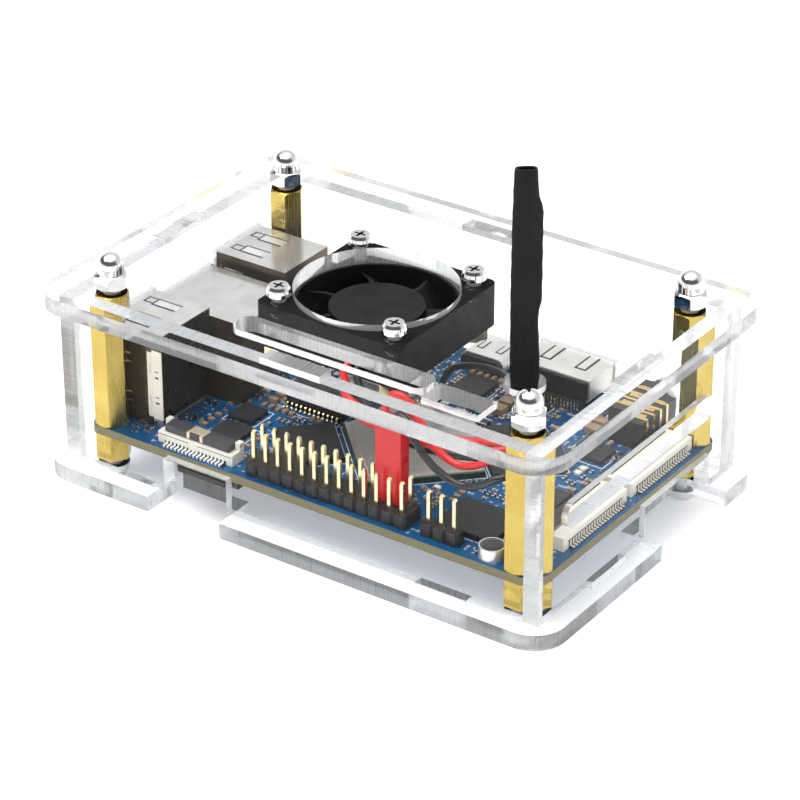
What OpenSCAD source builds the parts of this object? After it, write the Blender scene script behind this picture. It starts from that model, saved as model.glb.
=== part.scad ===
/* [Board] */
// Length of the circuit board along X
board_l = 91; // [90:0.5:93]
// Width of the circuit board along Y
board_w = 56; // [55.5:0.5:58]
// Thickness of the circuit board
board_t = 1.6; // [1.2:0.1:1.7]
// Corner radius of the circuit board
board_r = 2; // [1:0.5:3]
// Distance of each mounting hole from the short edges
hole_inset_x = 3; // [2.8:0.1:3.2]
// Distance of each mounting hole from the long edges
hole_inset_y = 2.8; // [2.7:0.05:2.8]

/* [Case] */
// Length of the top and bottom plates
plate_l = 105; // [104:0.5:110]
// Width of the top and bottom plates
plate_w = 70; // [70:0.5:76]
// Thickness of every clear panel
panel_t = 3; // [2.5:0.1:3]
// Corner radius of the top and bottom plates
plate_r = 6; // [4:0.5:8]
// Gap between the board edge and the walls
wall_gap = 0.5; // [0.4:0.1:0.8]
// Height of the spacers under the board
spacer_h = 5; // [5:0.5:8]
// Height of the standoffs over the board
post_h = 23; // [22.5:0.5:26]
// Width of each standoff and nut across its flats
hex_af = 5.5; // [5.3:0.1:5.5]
// Height of the screw heads that the case stands on
foot_h = 2; // [1.6:0.1:2.4]

/* [Fan] */
// Side of the square fan
fan_side = 30; // [30:0.5:31]
// Height of the fan frame
fan_h = 8; // [7.5:0.5:8]
// Distance between the fan's screw holes
fan_pitch = 24; // [24:0.1:24.4]
// Radius of the opening over the fan
fan_hole_r = 14.5; // [14:0.1:14.6]
// Number of fan blades
blade_count = 7; // [5:1:9]

/* [Headers] */
// Distance between neighbouring header pins
pin_pitch = 2.54; // [2.54]
// Pins in each row of the long header
pin_count = 13; // [10:1:13]

/* [Antenna] */
// Height of the antenna's tip over the board
antenna_top = 64; // [60:1:72]
// Width of the flat antenna sleeve
antenna_w = 5.2; // [4.5:0.1:5.6]

/* [Hidden] */

// Heights over the ground
plate_top = foot_h + panel_t;
board_top = plate_top + spacer_h + board_t;
roof = board_top + post_h;

// Heights over the board's top face, used inside on_board
floor_z = plate_top - board_top;
roof_z = post_h;
wall_h = roof_z - floor_z;
under_z = -board_t;

// Walls
tab_gap = 0.1;
tab_l = 12;
wall_out = wall_gap + panel_t;
over_x = (plate_l - board_l) / 2;
over_y = (plate_w - board_w) / 2;
notch_depth = 10;
card_notch = [17, 32.5];
side_notch = [29.5, 51];
front_tabs = [[8, 15], [70.5, 80.5]];
back_tabs = [[10, 20], [70.5, 80.5]];
left_tabs = [[9, 19], [37, 47]];
right_tabs = [[13, 23]];

// Fasteners
screw_r = 1.5;
screw_clear_r = 1.6;
bolt_grip = 5;
stud_l = 7;
holes = [
    [hole_inset_x, hole_inset_y],
    [board_l - hole_inset_x, hole_inset_y],
    [hole_inset_x, board_w - hole_inset_y],
    [board_l - hole_inset_x, board_w - hole_inset_y]
];

// Fan
fan_x = 40.5;
fan_y = 28.5;
fan_z = roof_z - fan_h;
hub_r = 8.4;
hub_wall = 1;
shaft_r = 1;
bearing_play = 0.03;
fan_screw_r = 1.2;
fan_nut_h = 2;
fan_corners = [for (sx = [-1, 1], sy = [-1, 1]) [fan_x + sx * fan_pitch / 2, fan_y + sy * fan_pitch / 2]];

// Headers
pin_side = 0.64;
pin_top = 8.5;
pin_tail = 3;
header_x = 34.3;
header_y = 2.45;
serial_x = 69.9;
serial_y = 2.8;
header_places = [for (i = [0:pin_count - 1], j = [0:1]) [header_x + i * pin_pitch, header_y + j * pin_pitch]];
serial_places = [for (i = [0:2]) [serial_x + i * pin_pitch, serial_y]];
plug_x = header_x + 10 * pin_pitch;
plug_y = header_y + pin_pitch;
plug_h = 14;
plug_z = 2.6;

// Antenna
antenna_x = 79.7;
antenna_y = 14.4;
antenna_hole_r = 3.5;
antenna_turn = 35;
antenna_t = 1.9;
antenna_low = 24;
coax_r = 0.6;
coax_x = 46;
coax_y = 35.4;

// Sockets on the board: low and high corners over the board's top face
rj45_box = [[-3, 19.5, 0], [18, 35.2, 13.5]];
usb2_box = [[-3, 5.7, 0], [11.6, 18.7, 15.6]];
usb3_box = [[-3, 36.8, 0], [14.6, 49.8, 15.6]];
hdmi_box = [[56.5, 48.5, 0.1], [71.5, 59, 6]];
usb_c_box = [[43.5, 50.3, 0.1], [52.5, 58.4, 3.3]];
dc_box = [[23.8, 45, 0], [31.8, 58, 6.6]];
audio_box = [[75.9, 44.5, 0], [82.5, 56.2, 5.2]];
shell_t = 0.35;
port_gap = 0.3;

// Flat cable sockets
latch_pin_r = 0.35;
latch_play = 0.05;
display_l = 19.8;
display_y = [19, 40.3];
display_x = 82.6;
expansion_x = [14, 30];
expansion_y = 1.8;

// Power switch
switch_x = 37.5;
switch_z = 2.2;

// Memory card
card_w = 11;
card_l = 15;
card_t = 0.9;
card_x = 24.7;
card_socket_w = 14.2;
card_out = -1.7;

// Leads and coax, as points over the board's lower front left corner
lead_r = 0.65;
red_route = [
    [45.5, 14.5, 19.5], [45.5, 12.6, 19.2], [46, 10.8, 17], [48.5, 9.8, 14.2], [53, 9.2, 12.9],
    [58, 9, 12.5], [63, 8.9, 12.6], [68, 8.9, 13.2], [73, 9, 14], [77.5, 9, 15],
    [81, 8.7, 15.9], [82.8, 7.4, 16.6], [82.4, 5.9, 16.8], [80, 5.2, 16], [77, 5.1, 14.2],
    [74, 5.1, 13.4], [71, 5.2, 14.1], [68, 5.3, 15.8], [65, 5.3, 18], [62.4, 5, 19.9],
    [60.4, 4.95, 19.9], [59.7, 4.99, 18.6], [59.7, 4.99, 15.6]
];
black_route = [
    [47.3, 14.5, 19.3], [47.3, 13, 18.8], [47.8, 12, 16.6], [50, 11.4, 13.6], [54.5, 10.9, 11.4],
    [59.5, 10.6, 10.6], [64.5, 10.5, 10.6], [69.5, 10.5, 11.2], [74.5, 10.7, 12.2], [79, 10.7, 13.4],
    [82.6, 10.1, 14], [84.6, 8.2, 14.4], [84.3, 5.6, 14.6], [82, 3.5, 14], [79, 3.1, 12],
    [75.5, 3, 11.2], [72, 3, 12.2], [69, 3.1, 14], [66.6, 3.4, 16.2], [64.6, 3.8, 17.6],
    [62.9, 4.5, 17.8], [62.24, 4.99, 16.9], [62.24, 4.99, 15.6]
];
coax_route = [
    [46, 35.4, 2.2], [47.6, 35.4, 2.4], [49.4, 34.9, 4.4], [51.2, 33.8, 7.4], [54.2, 32.2, 10.8],
    [58.6, 30.6, 13.2], [63.2, 29.4, 14.6], [67.6, 27, 15.8], [71.8, 24, 16.8], [75.6, 20.6, 17.6],
    [78.2, 17.8, 18.6], [79.6, 15.5, 20.4], [79.7, 14.5, 22.6], [79.7, 14.4, 25.2]
];

$fn = 48;

// ---------- Shared shapes ----------

// Moves board coordinates to the part's frame: X and Y from the front left corner, Z from the top face
module on_board() {
    translate([-board_l / 2, -board_w / 2, board_top]) children();
}

module block(box) {
    translate(box[0]) cube(box[1] - box[0]);
}

module rounded(size, r) {
    hull()
        for (x = [r, size[0] - r], y = [r, size[1] - r])
            translate([x, y]) circle(r);
}

module hex_bar(h) {
    cylinder(h = h, r = hex_af / sqrt(3), $fn = 6);
}

// A four-sided shell that is open towards -X
module port_shell(box, back_open = 0) {
    difference() {
        block(box);
        block([box[0] + [-1, shell_t, shell_t], box[1] - [shell_t * (1 - back_open), shell_t, shell_t]]);
        children();
    }
}

// A spring finger cut in a sheet: a slot round three sides of a tongue that points along +X
module finger_cut(l, w, depth) {
    kerf = 0.3;
    difference() {
        translate([0, -w / 2, -depth / 2]) cube([l, w, depth]);
        translate([kerf, -w / 2 + kerf, -depth / 2 - 1]) cube([l, w - 2 * kerf, depth + 2]);
    }
}

// Unit direction from point a to point b
function along(a, b) = (b - a) / norm(b - a);

// Direction of a route at point i
function heading(p, i) =
    along(p[max(i - 1, 0)], p[min(i + 1, len(p) - 1)]);

// Sideways direction at a heading: level, unless the heading is upright
function aside(d) =
    let (s = abs(d[2]) > 0.97 ? [d[2], 0, -d[0]] : cross(d, [0, 0, 1])) s / norm(s);

function carried(d, s) = let (t = s - (s * d) * d) t / norm(t);

// Sideways directions along a route, each turned as little as possible from the one before
function sideways(p, i) =
    i == 0 ? aside(heading(p, 0)) : carried(heading(p, i), sideways(p, i - 1));

module cord(p, r) {
    sides = 8;
    n = len(p);
    rings = [
        for (i = [0:n - 1])
            let (d = heading(p, i), s = sideways(p, i), u = cross(d, s))
            for (k = [0:sides - 1])
                p[i] + r * (cos(360 * k / sides) * s + sin(360 * k / sides) * u)
    ];
    walls = [
        for (i = [0:n - 2], k = [0:sides - 1])
            let (a = i * sides + k, b = i * sides + (k + 1) % sides)
            [b, a, a + sides, b + sides]
    ];
    first = [for (k = [0:sides - 1]) k];
    last = [for (k = [0:sides - 1]) n * sides - 1 - k];
    polyhedron(points = rings, faces = concat(walls, [first], [last]), convexity = 8);
}

// ---------- Case ----------

module plate_outline() {
    translate([-over_x, -over_y]) rounded([plate_l, plate_w], plate_r);
}

// Slots for the tabs of the four walls
module tab_slots(front, back, left, right) {
    g = tab_gap;
    for (t = front) translate([t[0] - g, -wall_out - g]) square([t[1] - t[0] + 2 * g, panel_t + 2 * g]);
    for (t = back)
        translate([t[0] - g, board_w + wall_gap - g]) square([t[1] - t[0] + 2 * g, panel_t + 2 * g]);
    for (t = left) translate([-wall_out - g, t[0] - g]) square([panel_t + 2 * g, t[1] - t[0] + 2 * g]);
    for (t = right)
        translate([board_l + wall_gap - g, t[0] - g]) square([panel_t + 2 * g, t[1] - t[0] + 2 * g]);
}

function middle_tab(l) = [[(l - tab_l) / 2, (l + tab_l) / 2]];

module top_plate() {
    header_slot = [28.6, 2.2, 67.8, 7.6];
    serial_slot = [68.9, 0.4, 79.9, 6];
    color([0.9, 0.93, 0.95, 0.5]) on_board() translate([0, 0, roof_z])
        difference() {
            linear_extrude(panel_t) difference() {
                plate_outline();
                tab_slots(middle_tab(board_l), middle_tab(board_l), middle_tab(board_w), middle_tab(board_w));
                translate([header_slot[0], header_slot[1]])
                    rounded([header_slot[2] - header_slot[0], header_slot[3] - header_slot[1]], 2);
                translate([serial_slot[0], serial_slot[1]])
                    square([serial_slot[2] - serial_slot[0], serial_slot[3] - serial_slot[1]]);
            }
            translate([fan_x, fan_y, -1]) cylinder(h = panel_t + 2, r = fan_hole_r, $fn = 96);
            for (c = fan_corners) translate([c[0], c[1], -1])
                cylinder(h = panel_t + 2, r = fan_screw_r + 0.1);
            for (c = holes) translate([c[0], c[1], -1]) cylinder(h = panel_t + 2, r = screw_clear_r);
            translate([antenna_x, antenna_y, -1]) cylinder(h = panel_t + 2, r = antenna_hole_r);
        }
}

module bottom_plate() {
    color([0.9, 0.93, 0.95, 0.5]) on_board() translate([0, 0, floor_z - panel_t])
        difference() {
            linear_extrude(panel_t) difference() {
                plate_outline();
                tab_slots(front_tabs, back_tabs, left_tabs, right_tabs);
                translate([card_notch[0], -over_y - 1])
                    square([card_notch[1] - card_notch[0], notch_depth + 1]);
                translate([board_l + over_x - notch_depth, side_notch[0]])
                    square([notch_depth + 1, side_notch[1] - side_notch[0]]);
            }
            for (c = holes) translate([c[0], c[1], -1]) cylinder(h = panel_t + 2, r = screw_clear_r);
        }
}

// A wall outline: its rectangle with the upper and lower tabs
module wall_outline(from, to, upper, lower) {
    translate([from, floor_z]) square([to - from, wall_h]);
    for (t = upper) translate([t[0], roof_z - 1]) square([t[1] - t[0], panel_t + 1]);
    for (t = lower) translate([t[0], floor_z - panel_t]) square([t[1] - t[0], panel_t + 1]);
}

// Stands an outline of (along X, Z) up, with its outer face at y
module long_wall(y) {
    translate([0, y + panel_t, 0]) rotate([90, 0, 0]) linear_extrude(panel_t) children();
}

// Stands an outline of (along Y, Z) up, with its left face at x
module short_wall(x) {
    translate([x, 0, 0]) rotate([90, 0, 90]) linear_extrude(panel_t) children();
}

module front_plate() {
    color([0.9, 0.93, 0.95, 0.5]) on_board() long_wall(-wall_out) difference() {
        wall_outline(-wall_gap, board_l + wall_gap, middle_tab(board_l), front_tabs);
        translate([card_notch[0] + 1, floor_z - panel_t - 1])
            square([card_notch[1] - card_notch[0] - 2, panel_t + 1 - floor_z - 0.4]);
    }
}

module back_plate() {
    g = port_gap;
    color([0.9, 0.93, 0.95, 0.5]) on_board() difference() {
        long_wall(board_w + wall_gap) difference() {
            wall_outline(-wall_gap, board_l + wall_gap, middle_tab(board_l), back_tabs);
            for (b = [hdmi_box, usb_c_box, dc_box])
                translate([b[0][0] - g, b[0][2] - g])
                    square([b[1][0] - b[0][0] + 2 * g, b[1][2] - b[0][2] + 2 * g]);
        }
        translate([(audio_box[0][0] + audio_box[1][0]) / 2, board_w, 2.7]) rotate([-90, 0, 0])
            cylinder(h = wall_out + 1, r = 3);
        translate([switch_x, board_w, switch_z]) rotate([-90, 0, 0]) cylinder(h = wall_out + 1, r = 2);
    }
}

module left_plate() {
    g = port_gap;
    color([0.9, 0.93, 0.95, 0.5]) on_board() short_wall(-wall_out) difference() {
        wall_outline(-wall_out, board_w + wall_out, middle_tab(board_w), left_tabs);
        for (b = [usb2_box, usb3_box])
            translate([b[0][1] - g, -g]) square([b[1][1] - b[0][1] + 2 * g, b[1][2] + 2 * g]);
        translate([usb2_box[1][1] - 1, -g])
            square([rj45_box[1][1] + g - usb2_box[1][1] + 1, rj45_box[1][2] + 2 * g]);
    }
}

module right_plate() {
    slot_z = 9.5;
    slot_r = 2.3;
    color([0.9, 0.93, 0.95, 0.5]) on_board() short_wall(board_l + wall_gap) difference() {
        wall_outline(-wall_out, board_w + wall_out, middle_tab(board_w), right_tabs);
        hull() for (y = [4.6 + slot_r, 51.4 - slot_r]) translate([y, slot_z]) circle(slot_r);
        translate([side_notch[0], floor_z - panel_t - 1])
            square([side_notch[1] - side_notch[0], panel_t + 1 - floor_z - 0.4]);
    }
}

// ---------- Fasteners ----------

module spacers() {
    color("goldenrod") on_board() for (c = holes) translate([c[0], c[1], floor_z]) difference() {
        hex_bar(spacer_h);
        translate([0, 0, -1]) cylinder(h = spacer_h + 2, r = screw_clear_r);
    }
}

module standoffs() {
    chamfer = 0.5;
    color("goldenrod") on_board() for (c = holes) translate([c[0], c[1], 0]) {
        difference() {
            intersection() {
                hex_bar(post_h);
                rotate_extrude() polygon([
                    [0, 0], [hex_af / 2, 0], [hex_af / 2 + chamfer, chamfer],
                    [hex_af / 2 + chamfer, post_h - chamfer], [hex_af / 2, post_h], [0, post_h]
                ]);
            }
            translate([0, 0, -1]) cylinder(h = bolt_grip + 2, r = screw_r);
        }
        translate([0, 0, post_h - 0.5]) cylinder(h = stud_l + 0.5, r = screw_r);
    }
}

module cap_nuts() {
    flat_h = 2.6;
    dome_r = 2.4;
    color("silver") on_board() for (c = holes) translate([c[0], c[1], roof_z + panel_t]) difference() {
        union() {
            intersection() {
                hex_bar(flat_h);
                rotate_extrude() polygon([
                    [0, 0], [hex_af / 2, 0], [hex_af / 2 + 0.5, 0.4],
                    [hex_af / 2 + 0.5, flat_h - 0.5], [hex_af / 2 - 0.2, flat_h], [0, flat_h]
                ]);
            }
            cylinder(h = flat_h + 1.2, r = dome_r);
            translate([0, 0, flat_h + 1.2]) sphere(dome_r);
        }
        translate([0, 0, -1]) cylinder(h = stud_l - panel_t + 1, r = screw_r);
    }
}

// A pan head with a cross recess, its bearing face at z = 0 and its top at z = h
module pan_head(r, h) {
    difference() {
        rotate_extrude() polygon([
            [0, 0], [r, 0], [r, h * 0.35], [r * 0.93, h * 0.7], [r * 0.78, h], [0, h]
        ]);
        for (a = [0, 90]) rotate(a) translate([-r * 0.5, -r * 0.11, h * 0.35]) cube([r, r * 0.22, h]);
    }
}

module base_screws() {
    color("silver") on_board() for (c = holes) translate([c[0], c[1], floor_z - panel_t]) {
        mirror([0, 0, 1]) pan_head(2.75, foot_h);
        translate([0, 0, -0.5]) cylinder(h = panel_t + spacer_h + board_t + bolt_grip + 0.5, r = screw_r);
    }
}

// ---------- Fan ----------

module fan_frame() {
    bore_r = 14;
    strut_h = 1.2;
    tube_r = 2.6;
    color([0.13, 0.13, 0.14]) on_board() translate([fan_x, fan_y, fan_z]) {
        difference() {
            translate([-fan_side / 2, -fan_side / 2, 0]) linear_extrude(fan_h)
                rounded([fan_side, fan_side], 1.5);
            translate([0, 0, -1]) cylinder(h = fan_h + 2, r = bore_r, $fn = 96);
            for (sx = [-1, 1], sy = [-1, 1]) translate([sx * fan_pitch / 2, sy * fan_pitch / 2, -1])
                cylinder(h = fan_h + 2, r = fan_screw_r + 0.1);
            translate([3.8, -fan_side / 2 - 1, fan_h - 4.8]) cube([4.2, 2, 2.2]);
        }
        difference() {
            union() {
                cylinder(h = strut_h, r = hub_r + 0.1);
                for (a = [45:90:315]) rotate(a) translate([hub_r - 1, -0.9, 0])
                    cube([bore_r - hub_r + 1.5, 1.8, strut_h]);
                cylinder(h = 5.2, r = tube_r);
            }
            translate([0, 0, -1]) cylinder(h = 8, r = 1.9);
        }
    }
}

module fan_bearing() {
    color("darkgoldenrod") on_board() translate([fan_x, fan_y, fan_z + 0.4]) difference() {
        cylinder(h = 4.6, r = 1.9);
        translate([0, 0, -1]) cylinder(h = 7, r = shaft_r + bearing_play);
    }
}

module fan_shaft() {
    color("silver") on_board() translate([fan_x, fan_y, fan_z + 0.6]) cylinder(h = 5.9, r = shaft_r);
}

module fan_coil() {
    color([0.72, 0.4, 0.2]) on_board() translate([fan_x, fan_y, fan_z + 1.7]) difference() {
        union() {
            cylinder(h = 3.2, r = 3.6);
            for (a = [0:90:270]) rotate(a) {
                translate([3, -1.3, 0.4]) cube([2.8, 2.6, 2.4]);
                intersection() {
                    translate([5.2, -3.2, 0]) cube([1.4, 6.4, 3.2]);
                    cylinder(h = 3.2, r = 6.4);
                }
            }
        }
        translate([0, 0, -1]) cylinder(h = 6, r = 2.6);
    }
}

// One swept blade from the hub to its tip
module blade() {
    tip_r = 13.4;
    linear_extrude(height = 4.6, twist = -28, slices = 6) polygon([
        [hub_r - 0.5, -0.45], [hub_r + 2.5, -0.3], [tip_r - 0.2, 0.9], [tip_r, 1.5],
        [hub_r + 2.3, 0.5], [hub_r - 0.5, 0.35]
    ]);
}

module fan_rotor() {
    cup_z = 1.7;
    cup_h = 5.6;
    color([0.12, 0.12, 0.13]) on_board() translate([fan_x, fan_y, fan_z + cup_z]) difference() {
        union() {
            cylinder(h = cup_h, r = hub_r);
            for (i = [0:blade_count - 1]) rotate(360 / blade_count * i) translate([0, 0, 0.5]) blade();
        }
        difference() {
            translate([0, 0, -1]) cylinder(h = cup_h + 1 - hub_wall, r = hub_r - hub_wall);
            translate([0, 0, 4]) cylinder(h = cup_h, r = 2);
        }
        translate([0, 0, -2]) cylinder(h = 6.8, r = shaft_r);
    }
}

module fan_screws() {
    grip = panel_t + fan_h + fan_nut_h;
    color("silver") on_board() for (c = fan_corners) translate([c[0], c[1], roof_z + panel_t]) {
        pan_head(2.2, 1.7);
        translate([0, 0, -grip - 1]) cylinder(h = grip + 1.5, r = fan_screw_r);
    }
}

module fan_nuts() {
    color("silver") on_board() for (c = fan_corners) translate([c[0], c[1], fan_z - fan_nut_h]) difference() {
        cylinder(h = fan_nut_h, r = 5 / sqrt(3), $fn = 6);
        translate([0, 0, -1]) cylinder(h = fan_nut_h + 2, r = fan_screw_r);
    }
}

module fan_lead_red() {
    color("red") on_board() cord(red_route, lead_r);
}

module fan_lead_black() {
    color([0.1, 0.1, 0.1]) on_board() cord(black_route, lead_r);
}

module lead_plug() {
    cavity = 1.4;
    color([0.85, 0.1, 0.08]) on_board()
        translate([plug_x - pin_pitch / 2, plug_y - pin_pitch / 2 + 0.04, plug_z]) difference() {
            cube([2 * pin_pitch, pin_pitch - 0.08, plug_h]);
            for (i = [0, 1]) translate([pin_pitch * (i + 0.5), pin_pitch / 2 - 0.04, 0]) {
                translate([-cavity / 2, -cavity / 2, -1]) cube([cavity, cavity, plug_h + 2]);
                translate([-0.6, 0, 5]) cube([1.2, pin_pitch, 2.2]);
            }
            translate([2 * pin_pitch - 0.4, 0.5, 7.6]) cube([1, 1.6, 1.2]);
        }
}

module lead_contacts() {
    outer = 1.1;
    inner = pin_side + 0.04;
    color([0.8, 0.72, 0.5]) on_board() for (i = [0, 1])
        translate([plug_x + i * pin_pitch, plug_y, plug_z + 0.6]) difference() {
            translate([-outer / 2, -outer / 2, 0]) cube([outer, outer, 9]);
            translate([-inner / 2, -inner / 2, -1]) cube([inner, inner, 8]);
        }
}

// ---------- Board and its small parts ----------

module circuit_board() {
    color([0.05, 0.35, 0.62]) on_board() translate([0, 0, -board_t]) difference() {
        linear_extrude(board_t) rounded([board_l, board_w], board_r);
        for (c = holes) translate([c[0], c[1], -1]) cylinder(h = board_t + 2, r = screw_clear_r);
        for (c = concat(header_places, serial_places)) translate([c[0], c[1], -1])
            cylinder(h = board_t + 2, r = 0.5, $fn = 16);
    }
}

// One unit of a pin strip, cut at its corners, with a hole for each pin
module strip_unit(rows) {
    corner = 0.4;
    s = pin_pitch;
    linear_extrude(2.5) difference() {
        polygon([
            [corner, 0], [s - corner, 0], [s, corner], [s, rows * s - corner],
            [s - corner, rows * s], [corner, rows * s], [0, rows * s - corner], [0, corner]
        ]);
        for (j = [0:rows - 1]) translate([s / 2, (j + 0.5) * s]) square(pin_side + 0.04, center = true);
    }
}

module header_bodies() {
    color([0.1, 0.1, 0.1]) on_board() {
        for (i = [0:pin_count - 1])
            translate([header_x + (i - 0.5) * pin_pitch, header_y - pin_pitch / 2, 0]) strip_unit(2);
        for (i = [0:2])
            translate([serial_x + (i - 0.5) * pin_pitch, serial_y - pin_pitch / 2, 0]) strip_unit(1);
    }
}

module header_pins() {
    tip = 0.5;
    color([0.85, 0.76, 0.5]) on_board() for (c = concat(header_places, serial_places))
        translate([c[0], c[1], under_z - pin_tail + board_t]) {
            translate([0, 0, tip]) linear_extrude(pin_top + pin_tail - 2 * tip)
                square(pin_side, center = true);
            translate([0, 0, pin_top + pin_tail - tip]) linear_extrude(tip, scale = 0.45)
                square(pin_side, center = true);
            translate([0, 0, tip]) mirror([0, 0, 1]) linear_extrude(tip, scale = 0.45)
                square(pin_side, center = true);
        }
}

module microphone() {
    color("silver") on_board() translate([82.3, 2.8, 0]) difference() {
        cylinder(h = 2.3, r = 2.3);
        translate([0, 0, 2.1]) cylinder(h = 1, r = 2);
    }
}

// A flat chip package turned about its centre
module chip(x, y, w, d, h, turn = 0) {
    translate([x, y, 0]) rotate(turn) translate([-w / 2, -d / 2, 0]) cube([w, d, h]);
}

module soc_package() {
    color([0.12, 0.2, 0.13]) on_board() chip(52.5, 23.5, 21, 21, 1, 45);
}

module soc_lid() {
    color([0.75, 0.75, 0.74]) on_board() translate([0, 0, 1]) {
        chip(52.5, 23.5, 20.6, 20.6, 0.3, 45);
        chip(52.5, 23.5, 18.6, 18.6, 1.1, 45);
    }
}

module ram_chips() {
    color([0.1, 0.1, 0.1]) on_board() {
        chip(36.8, 14.7, 10.5, 12.5, 1, 45);
        chip(68.2, 31.7, 10.5, 12.5, 1, 45);
    }
}

module flash_chip() {
    color([0.12, 0.12, 0.12]) on_board() chip(74.8, 10.2, 11.5, 9.6, 1);
}

module support_chips() {
    color([0.12, 0.12, 0.12]) on_board() {
        chip(23, 10.6, 6, 6, 0.9);
        chip(30.5, 27.2, 11.6, 5.2, 2.2);
        chip(78.3, 21.6, 6, 6, 0.9);
        chip(77, 39, 5, 5, 0.9);
        chip(63, 43.5, 5, 4, 1.3);
        chip(50.5, 44, 6, 6, 0.9);
        chip(21.5, 17.5, 5, 5, 0.9);
        translate([0, 0, under_z]) mirror([0, 0, 1]) chip(52, 30, 9, 9, 1);
    }
}

// Rows of small two-ended parts: place, count, step between them, size
module passives() {
    rows = [
        [[31.2, 22.2], 2, [1.6, 0], [0.8, 1.2, 0.5]],
        [[21.2, 21.6], 5, [1.5, 0], [0.8, 1.2, 0.5]],
        [[21.2, 23.8], 2, [0, 2], [1.8, 1, 0.8]],
        [[27.4, 8.6], 4, [0, 1.4], [1.1, 0.7, 0.4]],
        [[60.4, 8.6], 4, [1.3, 1.3], [0.7, 0.7, 0.4]],
        [[45.5, 7.4], 3, [1.6, 0], [0.9, 0.9, 0.4]],
        [[66.5, 19.5], 5, [0, -1.5], [1.1, 0.7, 0.4]],
        [[81.2, 31.4], 4, [0, 1.2], [1, 0.6, 0.4]],
        [[46.5, 48.3], 5, [1.5, 0], [0.8, 1.2, 0.5]],
        [[57.5, 47.1], 9, [1.5, 0], [0.7, 1, 0.4]],
        [[16.5, 8.4], 4, [0, 2], [1.2, 0.8, 0.5]],
        [[57.2, 38.5], 2, [0, 3], [2.6, 2.2, 1.2]],
        [[72.8, 44.6], 2, [0, -2.8], [2.4, 2, 1.3]]
    ];
    color([0.62, 0.52, 0.4]) on_board() for (r = rows, i = [0:r[1] - 1])
        translate([r[0][0] + i * r[2][0], r[0][1] + i * r[2][1], 0]) cube(r[3]);
}

module wireless_module() {
    color([0.55, 0.55, 0.56]) on_board() {
        chip(35, 38.7, 12, 12, 0.6);
        translate([0, 0, 0.6]) chip(35, 38.7, 11, 11, 1);
    }
}

// ---------- Antenna ----------

module coax_socket() {
    color("goldenrod") on_board() translate([coax_x, coax_y, 0]) {
        translate([-1.3, -1.3, 0]) cube([2.6, 2.6, 0.35]);
        cylinder(h = 1.2, r = 0.95);
    }
}

module coax_plug() {
    color("silver") on_board() translate([coax_x, coax_y, 0.5]) difference() {
        union() {
            cylinder(h = 1.1, r = 1.3);
            translate([0, -0.65, 0.7]) cube([2.4, 1.3, 0.4]);
        }
        translate([0, 0, -1]) cylinder(h = 1.75, r = 1);
    }
}

module antenna_coax() {
    color([0.08, 0.08, 0.08]) on_board() cord(coax_route, coax_r);
}

module at_antenna() {
    on_board() translate([antenna_x, antenna_y, 0]) rotate(antenna_turn) children();
}

module antenna_element() {
    color("goldenrod") at_antenna() translate([-1.4, -0.15, 25.6]) cube([2.8, 0.3, antenna_top - 28]);
}

// The sleeve's flat outline, with the steps where it has shrunk round the strip inside
module sleeve_outline() {
    w = antenna_w / 2;
    low = antenna_low;
    top = antenna_top;
    polygon([
        [-w * 0.92, low], [w * 0.88, low], [w * 0.96, low + 4], [w * 0.8, low + 12],
        [w * 0.78, low + 15], [w, low + 18], [w, top - 7], [w * 0.9, top - 5.6],
        [w * 0.55, top - 4.6], [w * 0.6, top], [-w * 0.6, top], [-w * 0.9, top - 2],
        [-w, top - 6], [-w, low + 4]
    ]);
}

module antenna_sleeve() {
    color([0.1, 0.1, 0.1]) at_antenna() difference() {
        translate([0, antenna_t / 2, 0]) rotate([90, 0, 0]) linear_extrude(antenna_t) sleeve_outline();
        translate([-1.5, -0.4, antenna_low + 1.3]) cube([3, 0.8, antenna_top]);
        translate([0, 0, antenna_low - 1]) cylinder(h = 2.6, r = coax_r + 0.05);
    }
}

// ---------- Sockets along the left side ----------

module rj45_shell() {
    color([0.78, 0.77, 0.75]) on_board() port_shell(rj45_box) {
        translate([2, rj45_box[0][1], 8.6]) rotate([90, 0, 0]) finger_cut(5, 2.4, 2);
        translate([2, rj45_box[1][1], 8.6]) rotate([90, 0, 0]) finger_cut(5, 2.4, 2);
    }
}

module rj45_insert() {
    b = rj45_box;
    mid = (b[0][1] + b[1][1]) / 2;
    bay_l = 12;
    g = shell_t + 0.05;
    color([0.15, 0.15, 0.15]) on_board() {
        difference() {
            block([b[0] + [0.3, g, g], b[1] - [g, g, g]]);
            translate([b[0][0] - 1, mid - 5.9, 3]) cube([bay_l + 1, 11.8, 6.8]);
            translate([b[0][0] - 1, mid - 3, 1]) cube([bay_l + 1, 6, 3]);
            for (s = [-1, 1]) translate([b[0][0] - 1, mid + s * 5.5 - 1.5, 10.6]) cube([6, 3, 2]);
        }
        for (s = [-1, 1]) translate([b[0][0] + 0.5, mid + s * 5.5 - 1.4, 10.7]) cube([4, 2.8, 1.8]);
        for (i = [0:7]) translate([b[0][0] + 3, mid - 4.5 + i * 1.27, 8.4]) cube([bay_l - 3, 0.4, 1.4]);
    }
}

// Spring fingers cut in both sides of a stacked shell, at each level
module side_fingers(box, levels) {
    for (z = levels, y = [box[0][1], box[1][1]])
        translate([0.6, y, z]) rotate([90, 0, 0]) finger_cut(4.6, 2, 2);
}

module top_fingers(box) {
    mid = (box[0][1] + box[1][1]) / 2;
    for (s = [-1, 1]) translate([0.4, mid + s * 3, box[1][2]]) finger_cut(4.6, 2, 2);
}

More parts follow.
